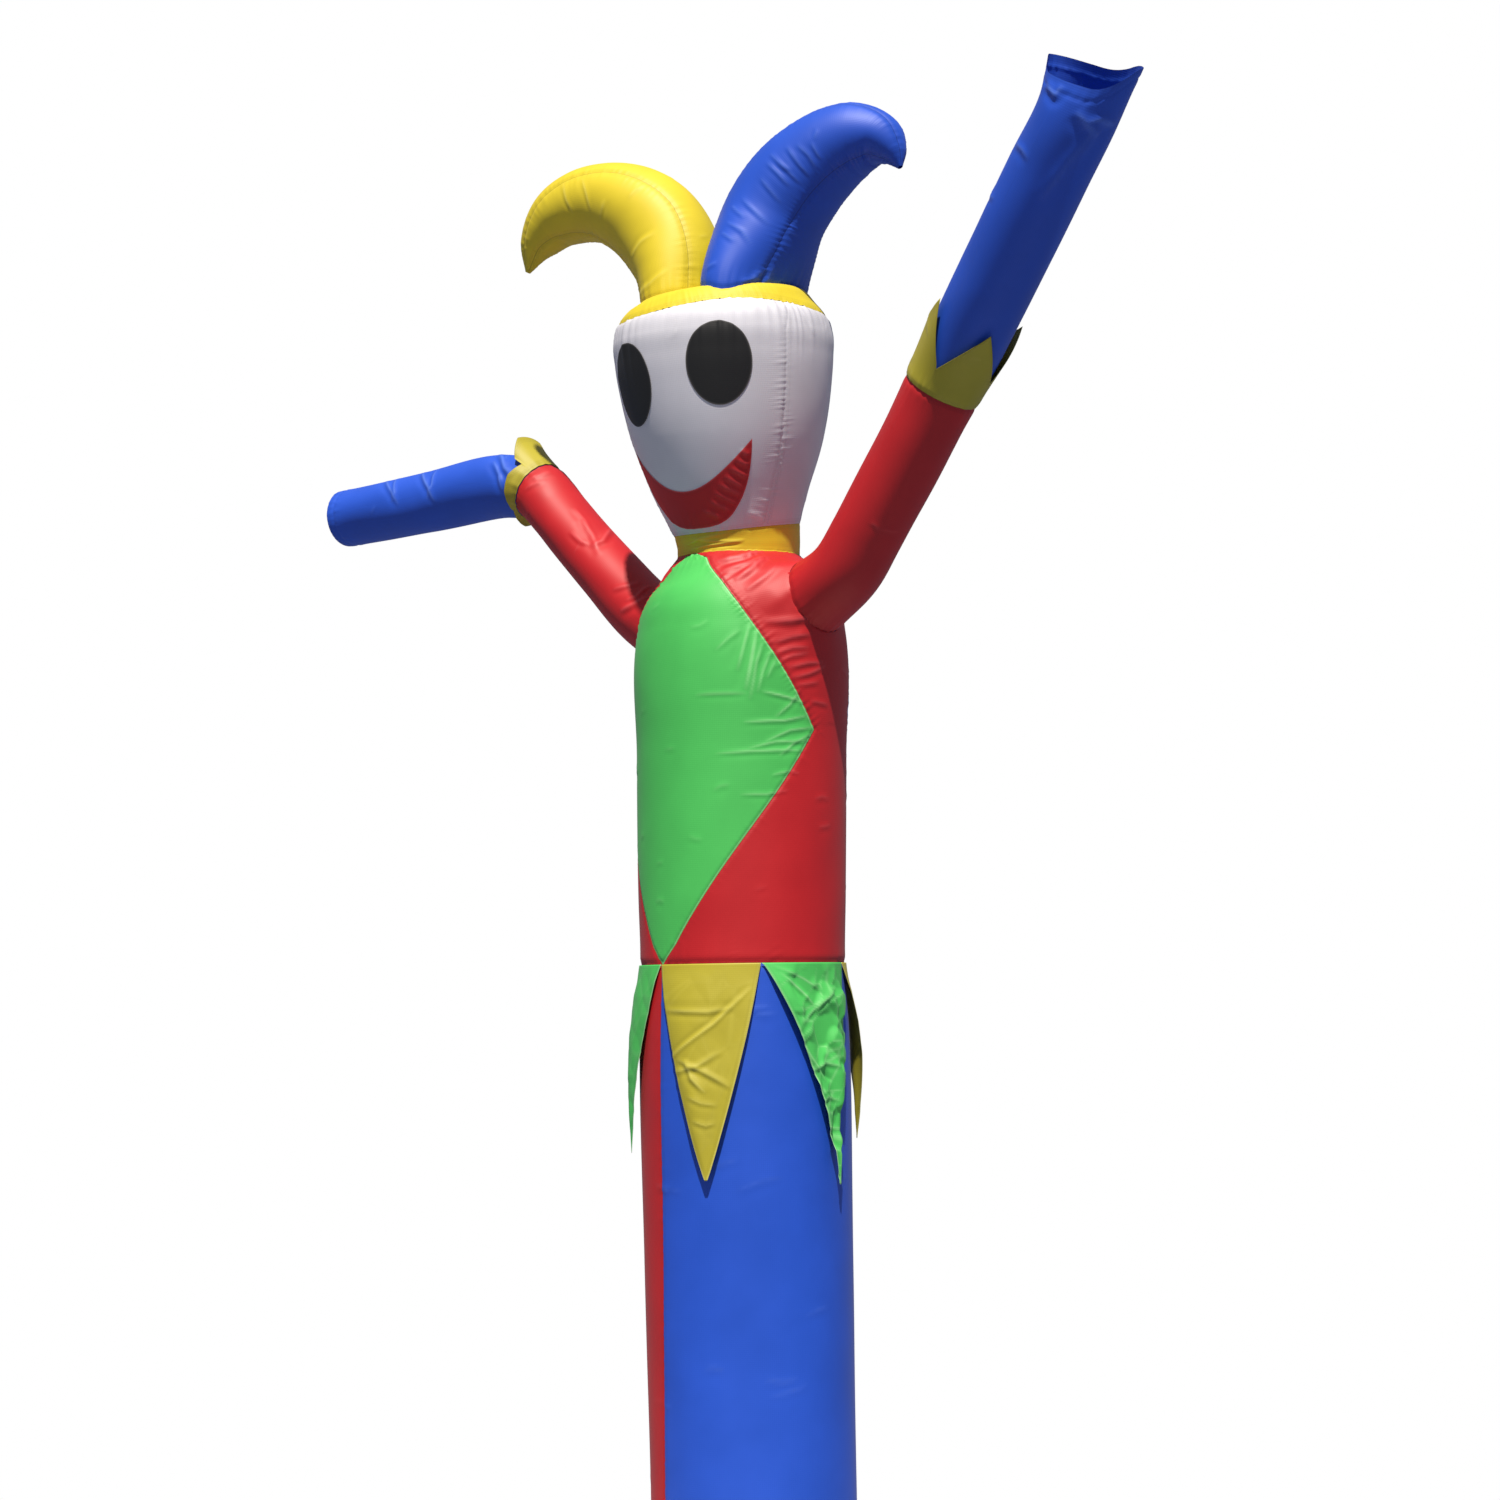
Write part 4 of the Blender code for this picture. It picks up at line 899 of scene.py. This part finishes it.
mouthAcross = np.sin(0.99 * np.linspace(-1.0, 1.0, 121) * np.pi / 2.0)[None, :]
upper = facePatch["mouthTop"] + (facePatch["mouthCorner"] - facePatch["mouthTop"]) * mouthAcross**2
rise = 1.0 - (1.0 - np.abs(mouthAcross) ** facePatch["mouthJaw"]) ** (1.0 / facePatch["mouthJaw"])
lower = facePatch["mouthFoot"] + (facePatch["mouthCorner"] - facePatch["mouthFoot"]) * rise
mouthAt = lower + (upper - lower) * np.linspace(0.0, 1.0, 25)[:, None]
mouthTurn = facePatch["mouthTurn"] + facePatch["mouthHalfTurn"] * mouthAcross + 0.0 * mouthAt
patchOnFace("mouth", "mouth", "red_nylon", mouthAt, mouthTurn, (0.34, 0.172, 0.028))
print("face done")

# Horns: four gores each, sewn into the cap

hornLooks = {
    # sizes in mm: pitch, reach and height of the puckers, and their slant
    "goreSeam": {"dip": 2.2, "dipWidth": 6, "seed": 101, "left": (12.5, 24, 1.2, 0),
                 "right": (12.5, 24, 1.4, 0)},
    "footSeam": {"dip": 2.0, "dipWidth": 7, "seed": 131, "puckers": (22, 40, 2.2, 0)},
}
horns = {
    # the two edges of the front gore, in degrees by place along the horn; the back gore mirrors it
    "hornBlue": {"slot": "blue_nylon", "node": "horn_blue", "seed": 0,
                 "first": [(0.0, -56.0), (0.65, -56.0)], "last": [(0.0, 56.0), (0.65, 54.0)],
                 "flats": {"front": (0.23, 0.62, 0.103), "left": (0.16, 0.48, 0.048),
                           "back": (0.23, 0.62, 0.100), "right": (0.16, 0.83, 0.082)}},
    "hornYellow": {"slot": "yellow_nylon", "node": "horn_yellow", "seed": 20,
                   "first": [(0.0, -60.0), (0.25, -62.0), (0.41, -68.0), (0.50, -64.0), (0.58, -60.0),
                             (0.65, -46.0)],
                   "last": [(0.0, 46.0), (0.25, 46.0), (0.41, 35.0), (0.50, 26.0), (0.58, 20.0),
                            (0.65, 16.0)],
                   "flats": {"front": (0.20, 0.68, 0.086), "left": (0.20, 0.80, 0.110),
                             "back": (0.20, 0.68, 0.086), "right": (0.14, 0.52, 0.043)}},
}
hornFolds = {
    # height and width of each fold in mm, how pale it is, then its places along and round the horn
    "hornBlue": {
        "bend": [(1.3, 5.0, 0.3, [(0.31, -11), (0.31, 11), (0.305, 32)]),
                 (1.5, 5.0, 0.3, [(0.325, -19), (0.33, 14), (0.33, 39)]),
                 (1.5, 5.0, 0.3, [(0.36, -10), (0.36, 17), (0.36, 40)]),
                 (1.2, 5.0, 0.3, [(0.38, -3), (0.39, 19), (0.385, 39)]),
                 (1.1, 5.0, 0.3, [(0.41, 6), (0.41, 33)]),
                 (1.2, 5.0, 0.3, [(0.28, -4), (0.27, 19), (0.26, 35)])],
        "side": [(1.3, 5.0, 0.3, [(0.23, -10), (0.21, 16), (0.19, 39)]),
                 (1.2, 5.0, 0.3, [(0.175, -14), (0.16, 13), (0.135, 32)]),
                 (1.0, 5.0, 0.3, [(0.15, -14), (0.135, 10)]),
                 (1.0, 5.0, 0.3, [(0.21, -19), (0.19, 8)])],
        "foot": [(2.0, 6.0, 0.3, [(0.05, 47), (0.07, 51), (0.10, 57)]),
                 (2.0, 6.0, 0.3, [(0.04, 56), (0.07, 62), (0.11, 62)]),
                 (1.8, 6.0, 0.3, [(0.04, 34), (0.06, 46), (0.09, 50)]),
                 (1.5, 6.0, 0.2, [(0.07, -19), (0.085, -2)])],
    },
    "hornYellow": {
        "tip": [(1.1, 5.0, 0.3, [(0.455, 23), (0.43, -4), (0.41, -26)]),
                (1.1, 5.0, 0.3, [(0.50, 24), (0.49, -8), (0.475, -31)])],
        "side": [(1.2, 7.0, 0.2, [(0.20, 12), (0.205, -11), (0.195, -36)]),
                 (1.2, 7.0, 0.2, [(0.105, 20), (0.08, -9), (0.07, -51)])],
    },
}
for name, horn in horns.items():
    tube, turns = branches[name]["tube"], roots["horn"]["turns"]
    tip = tube.keys[-1]
    first, last = easeTable(horn["first"]), easeTable(horn["last"])
    corners = [first, last, seamLine(180.0, last, -1), seamLine(180.0, first, -1), seamLine(360.0, first)]
    tube.relief = [
        unevenness(1.0 * mm, 0.08, 0.12, 7 + horn["seed"]),
        *[edgeSeam(corner, 0.0, tip + 0.011, reseeded(hornLooks["goreSeam"], horn["seed"] + 3 * number))
          for number, corner in enumerate(corners[:4])],
        startSeam(turns, starts[name], hornLooks["footSeam"]),
        *foldsOf(hornFolds[name]),
        scatteredCreases(12, (0.08, 0.55), (0.0, 360.0), (-40.0, 40.0), (0.02, 0.045), 1.0 * mm, 5 * mm,
                         141 + horn["seed"], 0.2),
    ]
    for number, part in enumerate(("front", "left", "back", "right")):
        left, right = corners[number], corners[number + 1]
        across = np.linspace(0.0, 1.0, 37)
        footTurns = left(0.05) + (right(0.05) - left(0.05)) * across
        low = roundTable(turns, starts[name])(footTurns) - 2 * mm
        at = low + (tip - 1 * mm - low) * np.linspace(0.0, 1.0, 190)[:, None]
        turn = left(at) + (right(at) - left(at)) * across
        lift, crease = tube.lift(at, turn)
        lift = lift * np.clip((tip - at) / 0.05, 0.0, 1.0)
        away = np.minimum(turn - left(at), right(at) - turn) * tube.perDegree(at)
        sheet = sheetOn(tube, at, turn, lift, crease, np.minimum(away, at - low) / mm, at / mm)
        clothPiece(name + part.capitalize(), f"{horn['node']}_{part}", horn["slot"], *sheet,
                   horn["flats"][part], "stretched", ["cap"])
print("horns done")

# Arms: a red sleeve, a blue forearm and a cuff of points each

armLooks = {
    # sizes in mm: pitch, reach and height of the puckers, and their slant
    "armhole": {"dip": 1.2, "dipWidth": 6, "seed": 151, "puckers": (20, 35, 2.0, 0)},
    "elbow": {"dip": 2.5, "dipWidth": 8, "seed": 161, "left": (20, 30, 1.4, 0), "right": (20, 30, 1.8, 0)},
    "handHem": {"dip": 1.2, "dipWidth": 4, "seed": 171, "left": (17, 18, 1.6, 0), "right": (17, 30, 1.4, 0),
                "width": 22},
}
armFolds = {
    # height and width of each fold in mm, how pale it is, then its places along and round the arm
    "armLeft": {
        "hand": [(4.0, 8.0, 0.4, [(1.28, 32), (1.27, 50), (1.255, 79)]),
                 (3.0, 7.0, 0.4, [(1.27, 50), (1.28, 69), (1.275, 103)]),
                 (4.0, 8.0, 0.4, [(1.30, -32), (1.29, -5), (1.31, 0)]),
                 (5.0, 14.0, 0.1, [(1.11, 46), (1.205, 58), (1.295, 76)])],
        "forearm": [(2.0, 7.0, 0.3, [(1.165, -44), (1.17, -13), (1.165, 6)]),
                    (1.6, 6.0, 0.3, [(1.07, -52), (1.05, -40), (1.06, -20)]),
                    (2.0, 5.0, 0.5, [(0.79, -44), (0.77, -36), (0.755, -14)])],
    },
    "armRight": {
        "forearm": [(5.0, 9.0, 0.4, [(0.835, 76), (0.77, 30), (0.725, 11)]),
                    (4.0, 8.0, 0.4, [(0.825, 47), (0.78, 16), (0.76, -16)]),
                    (2.5, 7.0, 0.4, [(1.19, 71), (1.13, 18), (1.105, -11)]),
                    (1.8, 6.0, 0.4, [(1.15, 71), (1.12, 16), (1.13, -4)]),
                    (3.0, 7.0, 0.5, [(1.065, 71), (1.005, 8), (0.99, -22)]),
                    (2.0, 6.0, 0.4, [(1.005, 58), (0.995, 13), (1.015, -13)])],
        "sleeve": [(2.5, 8.0, 0.2, [(0.505, 61), (0.445, 56), (0.375, 40)]),
                   (2.0, 6.0, 0.3, [(0.49, 28), (0.445, 31), (0.415, 42)]),
                   (3.0, 8.0, 0.3, [(0.41, 36), (0.415, 64), (0.47, 110)]),
                   (3.5, 8.0, 0.4, [(0.225, -4), (0.20, 22), (0.185, 46)]),
                   (3.0, 7.0, 0.3, [(0.23, 17), (0.21, 34), (0.22, 68)]),
                   (2.5, 7.0, 0.3, [(0.28, 15), (0.255, 40), (0.245, 59)]),
                   (1.6, 7.0, 0.2, [(0.555, 65), (0.505, 64), (0.465, 60)])],
        "elbow": [(1.5, 6.0, 0.2, [(0.69, 27), (0.68, 52), (0.68, 76)]),
                  (1.5, 6.0, 0.2, [(0.68, 8), (0.67, 36), (0.665, 54)])],
    },
}


def footFlare(turns, foot, swell):
    # the sleeve widens a little into the swollen armhole
    def part(tube, at, turn):
        away = np.maximum(at - roundTable(turns, foot)(turn), 0.0)
        more = swellLooks["flare"] * roundTable(turns, swell)(turn)
        return more * np.exp(-away / swellLooks["upSleeve"]), 0.0 * at
    return part


arms = {
    # Rim: how far the open hand reaches along the arm, by degrees round it. Upper and fore: the flat
    # width, length and area of the sleeve and of the forearm.
    "armLeft": {"elbow": 0.64, "node": "arm_left", "rests": ["torso_left"], "seed": 0,
                "rim": [(0.0, 1.318), (45.0, 1.320), (67.5, 1.344), (90.0, 1.378), (135.0, 1.378),
                        (157.5, 1.360), (180.0, 1.350), (292.5, 1.348), (315.0, 1.320), (360.0, 1.318)],
                "upper": (0.49, 0.60, 0.271), "fore": (0.52, 0.74, 0.355)},
    "armRight": {"elbow": 0.70, "node": "arm_right", "rests": ["torso_right"], "seed": 30,
                 "rim": [(0.0, 1.35), (360.0, 1.35)],
                 "upper": (0.47, 0.62, 0.273), "fore": (0.46, 0.66, 0.293)},
}
# slot, end of the node's name and rows of points
armParts = {"Sleeve": ("red_nylon", "upper", 150), "Forearm": ("blue_nylon", "fore", 190)}


def rimOf(arm):
    # a little rounded where the table bends
    table = easeTable(arm["rim"])
    return lambda turn: sum(table((turn + more) % 360.0) for more in (-8.0, 0.0, 8.0)) / 3.0


def handHem(rim, seed):
    # the seam of the hem follows the rim
    looks = reseeded(armLooks["handHem"], seed)
    return ringSeam(0.0, looks, lambda turn: looks["width"] * mm - rim(turn))


for name, arm in arms.items():
    tube, turns, foot = branches[name]["tube"], roots["arm"]["turns"], starts[name]
    elbow, hand, rim = arm["elbow"], tube.keys[-1], rimOf(arm)
    tube.relief = [
        unevenness(1.2 * mm, 0.07, 0.14, 9 + arm["seed"]),
        startSeam(turns, foot, reseeded(armLooks["armhole"], arm["seed"])),
        footFlare(turns, foot, swells[name]),
        ringSeam(elbow, reseeded(armLooks["elbow"], arm["seed"])),
        handHem(rim, arm["seed"]),
        scatteredCreases(14, (0.25, 1.2), (0.0, 360.0), (-50.0, 50.0), (0.02, 0.05), 0.9 * mm, 5 * mm,
                         181 + arm["seed"], 0.2),
        *foldsOf(armFolds[name]),
    ]
    for label, (slot, part, rows) in armParts.items():
        share = np.linspace(0.0, 1.0, rows)[:, None]
        turn = np.repeat(turns[None, :], rows, axis=0)
        if part == "upper":
            low = foot - 2 * mm
            at = low + (elbow - low) * share
            away = np.minimum(at - low, elbow - at) / mm
        else:
            at = elbow + (hand - elbow) * share - (hand - rim(turn)) * share**4
            away = np.minimum(at - elbow, (hand - elbow) * (1.0 - share)) / mm
        sheet = sheetOn(tube, at, turn, *tube.lift(at, turn), away, turn * tube.perDegree(at) / mm)
        clothPiece(name + label, f"{arm['node']}_{part}", slot, *sheet, arm[part], "stretched",
                   arm["rests"], ring=True)

cuffs = {
    # each point: from the elbow seam to the notch before it, its length, how far notch and tip stand
    # off, and how blunt it is
    "cuffLeft": {"arm": "armLeft", "node": "cuff_left", "firstTurn": 22.5, "flat": (0.51, 0.19, 0.069),
                 "points": [(0.066, 0.120, 0.004, 0.010, 1.0), (0.070, 0.108, 0.004, 0.016, 1.0),
                            (0.070, 0.112, 0.005, 0.012, 1.0), (0.070, 0.120, 0.004, 0.010, 1.0)]},
    "cuffRight": {"arm": "armRight", "node": "cuff_right", "firstTurn": 45.0, "flat": (0.48, 0.065, 0.021),
                  "points": [(0.045, 0.020, 0.012, 0.043, 1.8), (0.030, 0.025, 0.010, 0.030, 1.4),
                             (0.014, 0.016, 0.004, 0.018, 1.0), (0.022, 0.010, 0.006, 0.016, 1.4)]},
}
for name, cuff in cuffs.items():
    arm = arms[cuff["arm"]]
    tube = branches[cuff["arm"]]["tube"]
    across = np.linspace(0.0, 1.0, 129)[:-1][None, :]
    row = np.linspace(0.0, 1.0, 40)[:, None]
    number = np.floor(across * 4.0 + 1e-6).astype(int) % 4
    table = np.array(cuff["points"])[number]
    tip = 1.0 - np.abs(2.0 * (across * 4.0 - np.floor(across * 4.0 + 1e-6)) - 1.0)
    tip = np.minimum(1.0, table[..., 4] * tip)
    reach = table[..., 0] + table[..., 1] * tip
    stand = table[..., 2] + (table[..., 3] - table[..., 2]) * tip
    at = arm["elbow"] + 0.5 * mm + reach * row
    turn = 360.0 * across + cuff["firstTurn"] + 0.0 * row
    under, crease = tube.lift(at, turn)
    away = np.minimum(reach * row, reach * (1.0 - row)) / mm
    sheet = sheetOn(tube, at, turn, under + 2.3 * mm + stand * row**1.5, crease, away,
                    turn * tube.perDegree(at) / mm)
    clothPiece(name, cuff["node"], "gold_nylon", *sheet, cuff["flat"], "hung", [arm["node"] + "_fore"],
               ring=True, thick=0.8 * mm)
print("arms done")

# Flags: six pointed pieces that hang from the waist seam

flags = {
    # slot, length, how far the tip drifts round and swings out, depth and number of the waves, taper, area
    "waistFlag1": ("gold_nylon", 0.442, 2.0, 0.012, 0.006, 1.0, 0.90, 0.055),
    "waistFlag2": ("green_nylon", 0.462, 15.0, 0.006, 0.006, 1.5, 1.30, 0.056),
    "waistFlag3": ("gold_nylon", 0.380, 4.0, 0.010, 0.008, 1.0, 1.05, 0.0485),
    "waistFlag4": ("green_nylon", 0.450, -5.0, 0.015, 0.007, 1.5, 1.15, 0.056),
    "waistFlag5": ("gold_nylon", 0.440, 6.0, 0.018, 0.008, 1.0, 1.10, 0.056),
    "waistFlag6": ("green_nylon", 0.395, -3.0, 0.014, 0.006, 1.0, 1.15, 0.048),
}
flagFolds = {
    # height and width in mm, how pale, then places along and round the tube that the flag hangs on
    "waistFlag1": {"creases": [(2.0, 6.0, 0.4, [(1.555, 6), (1.55, 32), (1.56, 46)]),
                               (2.8, 4.5, 0.4, [(1.60, 55), (1.525, 35), (1.445, 8)]),
                               (2.5, 6.0, 0.4, [(1.455, 16), (1.43, 30), (1.395, 45)]),
                               (2.5, 6.0, 0.5, [(1.455, 21), (1.415, 25), (1.385, 32)]),
                               (2.0, 6.0, 0.4, [(1.425, 12), (1.44, 27), (1.47, 39)]),
                               (1.2, 5.0, 0.3, [(1.38, 22), (1.365, 30), (1.36, 38)]),
                               (1.2, 5.0, 0.3, [(1.33, 25), (1.32, 32), (1.325, 37)])]},
    "waistFlag2": {"creases": [(2.5, 5.0, 0.5, [(1.645, 66), (1.615, 85), (1.59, 96)]),
                               (2.5, 5.0, 0.5, [(1.63, 70), (1.585, 84), (1.555, 92)]),
                               (2.5, 5.0, 0.5, [(1.52, 80), (1.555, 92), (1.60, 108)]),
                               (2.2, 5.0, 0.4, [(1.50, 78), (1.45, 86), (1.40, 96)]),
                               (2.2, 5.0, 0.4, [(1.42, 84), (1.44, 95), (1.43, 106)]),
                               (2.0, 5.0, 0.4, [(1.35, 88), (1.37, 96), (1.36, 104)]),
                               (1.8, 5.0, 0.4, [(1.29, 94), (1.305, 100), (1.30, 106)])]},
}
flagCrumple = {
    # height of the crumples in mm, and size of one flat face in m
    "waistFlag2": (7.5, 0.022), "waistFlag4": (4.5, 0.028), "waistFlag6": (2.5, 0.035),
    "others": (1.4, 0.045),
}
flagStand = 2.6 * mm    # the least that a flag stands off the leg
flagHemMm = 2.6


def facets(x, y, size, seed):
    # flat faces that meet in sharp creases
    draw = np.random.default_rng(seed)
    spots = draw.uniform(-1.0, 1.0, (220, 2)) * (0.16, 0.25) + (x.mean(), y.mean())
    tilts = draw.normal(0.0, 0.5, (220, 2))
    first = np.full(x.shape, -1e9)
    second = np.full(x.shape, -1e9)
    reach = size / 1.4
    for (sx, sy), (tx, ty) in zip(spots, tilts):
        dx, dy = (x - sx) / reach, (y - sy) / reach
        value = tx * dx + ty * dy - 0.5 * (dx * dx + dy * dy)
        second = np.maximum(second, np.minimum(first, value))
        first = np.maximum(first, value)
    return first, first - second


def crumple(x, y, height, size, seed):
    # crumpled cloth: one set of long faces creased inwards and one outwards, leaning opposite ways
    valleys, _ = facets(x + 0.5 * y, 0.6 * y, size, seed)
    ridges, besideRidge = facets(x - 0.4 * y, 0.6 * y, 1.3 * size, seed + 50)
    crease = 0.035 * height * np.exp(-((besideRidge / 0.08) ** 2))
    return height * mm * np.clip(valleys - ridges, -0.6, 0.6), crease


for number, (name, flag) in enumerate(flags.items()):
    slot, length, drift, swing, fold, folds, taper, area = flag
    down = np.linspace(0.0, 1.0, 132)[:, None]
    across = np.linspace(0.0, 1.0, 57)[None, :]
    half = 29.85 * (1.0 - down) ** taper + 0.6 * down
    turn = 60.0 * number + 30.0 + drift * down**0.6 + half * (2.0 * across - 1.0)
    clear = 0.005 * np.minimum(1.0, 6.0 * down) + swing * down**2
    wave = 1.0 + np.sin(2.0 * np.pi * folds * across + number)
    at = waistAt - 0.25 * mm - length * down + 0.0 * across
    lift = flagStand + clear + fold * wave * np.sin(np.pi * down)
    perDegree = trunk.perDegree(at)
    away = half * (1.0 - np.abs(2.0 * across - 1.0)) * perDegree / mm
    height, size = flagCrumple.get(name, flagCrumple["others"])
    calm = np.minimum(1.0, 12.0 * down)
    more, crease = crumple(turn * perDegree, at, height, size, 201 + number)
    if name in flagFolds:
        for part in foldsOf(flagFolds[name]):
            ridge, worn = part(trunk, at, turn)
            more, crease = more + ridge, np.maximum(crease, worn)
    # the turned hem is two layers thick and catches the light: a painted highlight along it, in the paler
    # colour
    crease = np.maximum(crease * calm, 0.8 * np.exp(-((away / flagHemMm) ** 2)))
    sheet = sheetOn(trunk, at, turn, np.maximum(lift + more * calm, flagStand), crease, away + 2.0, at / mm)
    clothPiece(name, f"waist_flag_{number + 1}", slot, *sheet, (0.231, length, area), "hung",
               ["leg_blue" if number < 3 else "leg_red"], thick=0.8 * mm)
print("flags done,", faceCount, "triangles in all")

# Floor, light and camera


def paintedFloor():
    # Matt wall paint on a smooth floor: pale, with a faint unevenness and no gloss.
    made = bpy.data.materials.new("mattWhitePaint")
    made.use_nodes = True
    tree = made.node_tree
    tree.nodes.clear()
    spot = addNode(tree, "ShaderNodeTexCoord")
    mottle = addNode(tree, "ShaderNodeTexNoise", {"Scale": 3.0, "Detail": 4.0}, Vector=(spot, "Object"))
    tint = addNode(tree, "ShaderNodeMapRange", {"To Min": 0.58, "To Max": 0.62}, Value=(mottle, "Fac"))
    shader = addNode(tree, "ShaderNodeBsdfPrincipled", {"Roughness": 0.9}, Base_Color=(tint, 0))
    addNode(tree, "ShaderNodeOutputMaterial", Surface=(shader, 0))
    return made


floorRadius = 1.15
aroundFloor = [2 * math.pi * k / 96 for k in range(96)]
ringPoints = [(floorRadius * math.cos(angle), floorRadius * math.sin(angle), 0.0) for angle in aroundFloor]
floorMesh = bpy.data.meshes.new("floor")
floorMesh.from_pydata(ringPoints, [], [tuple(range(96))])
floor = bpy.data.objects.new("floor", floorMesh)
floorMesh.materials.append(paintedFloor())
bpy.context.scene.collection.objects.link(floor)

lights = {"sunHeight": 59.0, "sunTurn": 42.0, "sunStrength": 5.6, "sunSpread": 1.5, "sunColour": "#FFF8EC",
          "skyColour": "#DDE6FF", "skyStrength": 0.28}
up, aroundZ = math.radians(lights["sunHeight"]), math.radians(lights["sunTurn"])
toSun = Vector((math.cos(up) * math.sin(aroundZ), -math.cos(up) * math.cos(aroundZ), math.sin(up)))
sunData = bpy.data.lights.new("key", "SUN")
sunData.energy = lights["sunStrength"]
sunData.angle = math.radians(lights["sunSpread"])
sunData.color = hexColour(lights["sunColour"])
sun = bpy.data.objects.new("key", sunData)
sun.rotation_euler = toSun.to_track_quat("Z", "Y").to_euler()
bpy.context.scene.collection.objects.link(sun)

world = bpy.data.worlds.new("studio")
world.use_nodes = True
bpy.context.scene.world = world
sky = world.node_tree
sky.nodes.clear()
fill = addNode(sky, "ShaderNodeBackground", {"Color": (*hexColour(lights["skyColour"]), 1.0),
                                             "Strength": lights["skyStrength"]})
backdrop = addNode(sky, "ShaderNodeBackground", {"Color": (1.0, 1.0, 1.0, 1.0), "Strength": 1.0})
seen = addNode(sky, "ShaderNodeLightPath")
mixed = addNode(sky, "ShaderNodeMixShader", _0=(seen, "Is Camera Ray"), _1=(fill, 0), _2=(backdrop, 0))
addNode(sky, "ShaderNodeOutputWorld", Surface=(mixed, 0))

eye = {"turn": 45.0, "distance": 5.19, "height": 1.594, "tilt": 5.73, "lens": 57.43}
cameraData = bpy.data.cameras.new("camera")
cameraData.sensor_width = 36.0
cameraData.lens = eye["lens"]
camera = bpy.data.objects.new("camera", cameraData)
turn = math.radians(eye["turn"])
camera.location = Vector((math.sin(turn) * eye["distance"], -math.cos(turn) * eye["distance"], eye["height"]))
camera.location += Vector(footToOrigin)
camera.rotation_euler = (math.radians(90.0 + eye["tilt"]), 0.0, turn)
bpy.context.scene.collection.objects.link(camera)
bpy.context.scene.camera = camera
bpy.context.scene.view_settings.view_transform = "Standard"
print("floor, light and camera set")
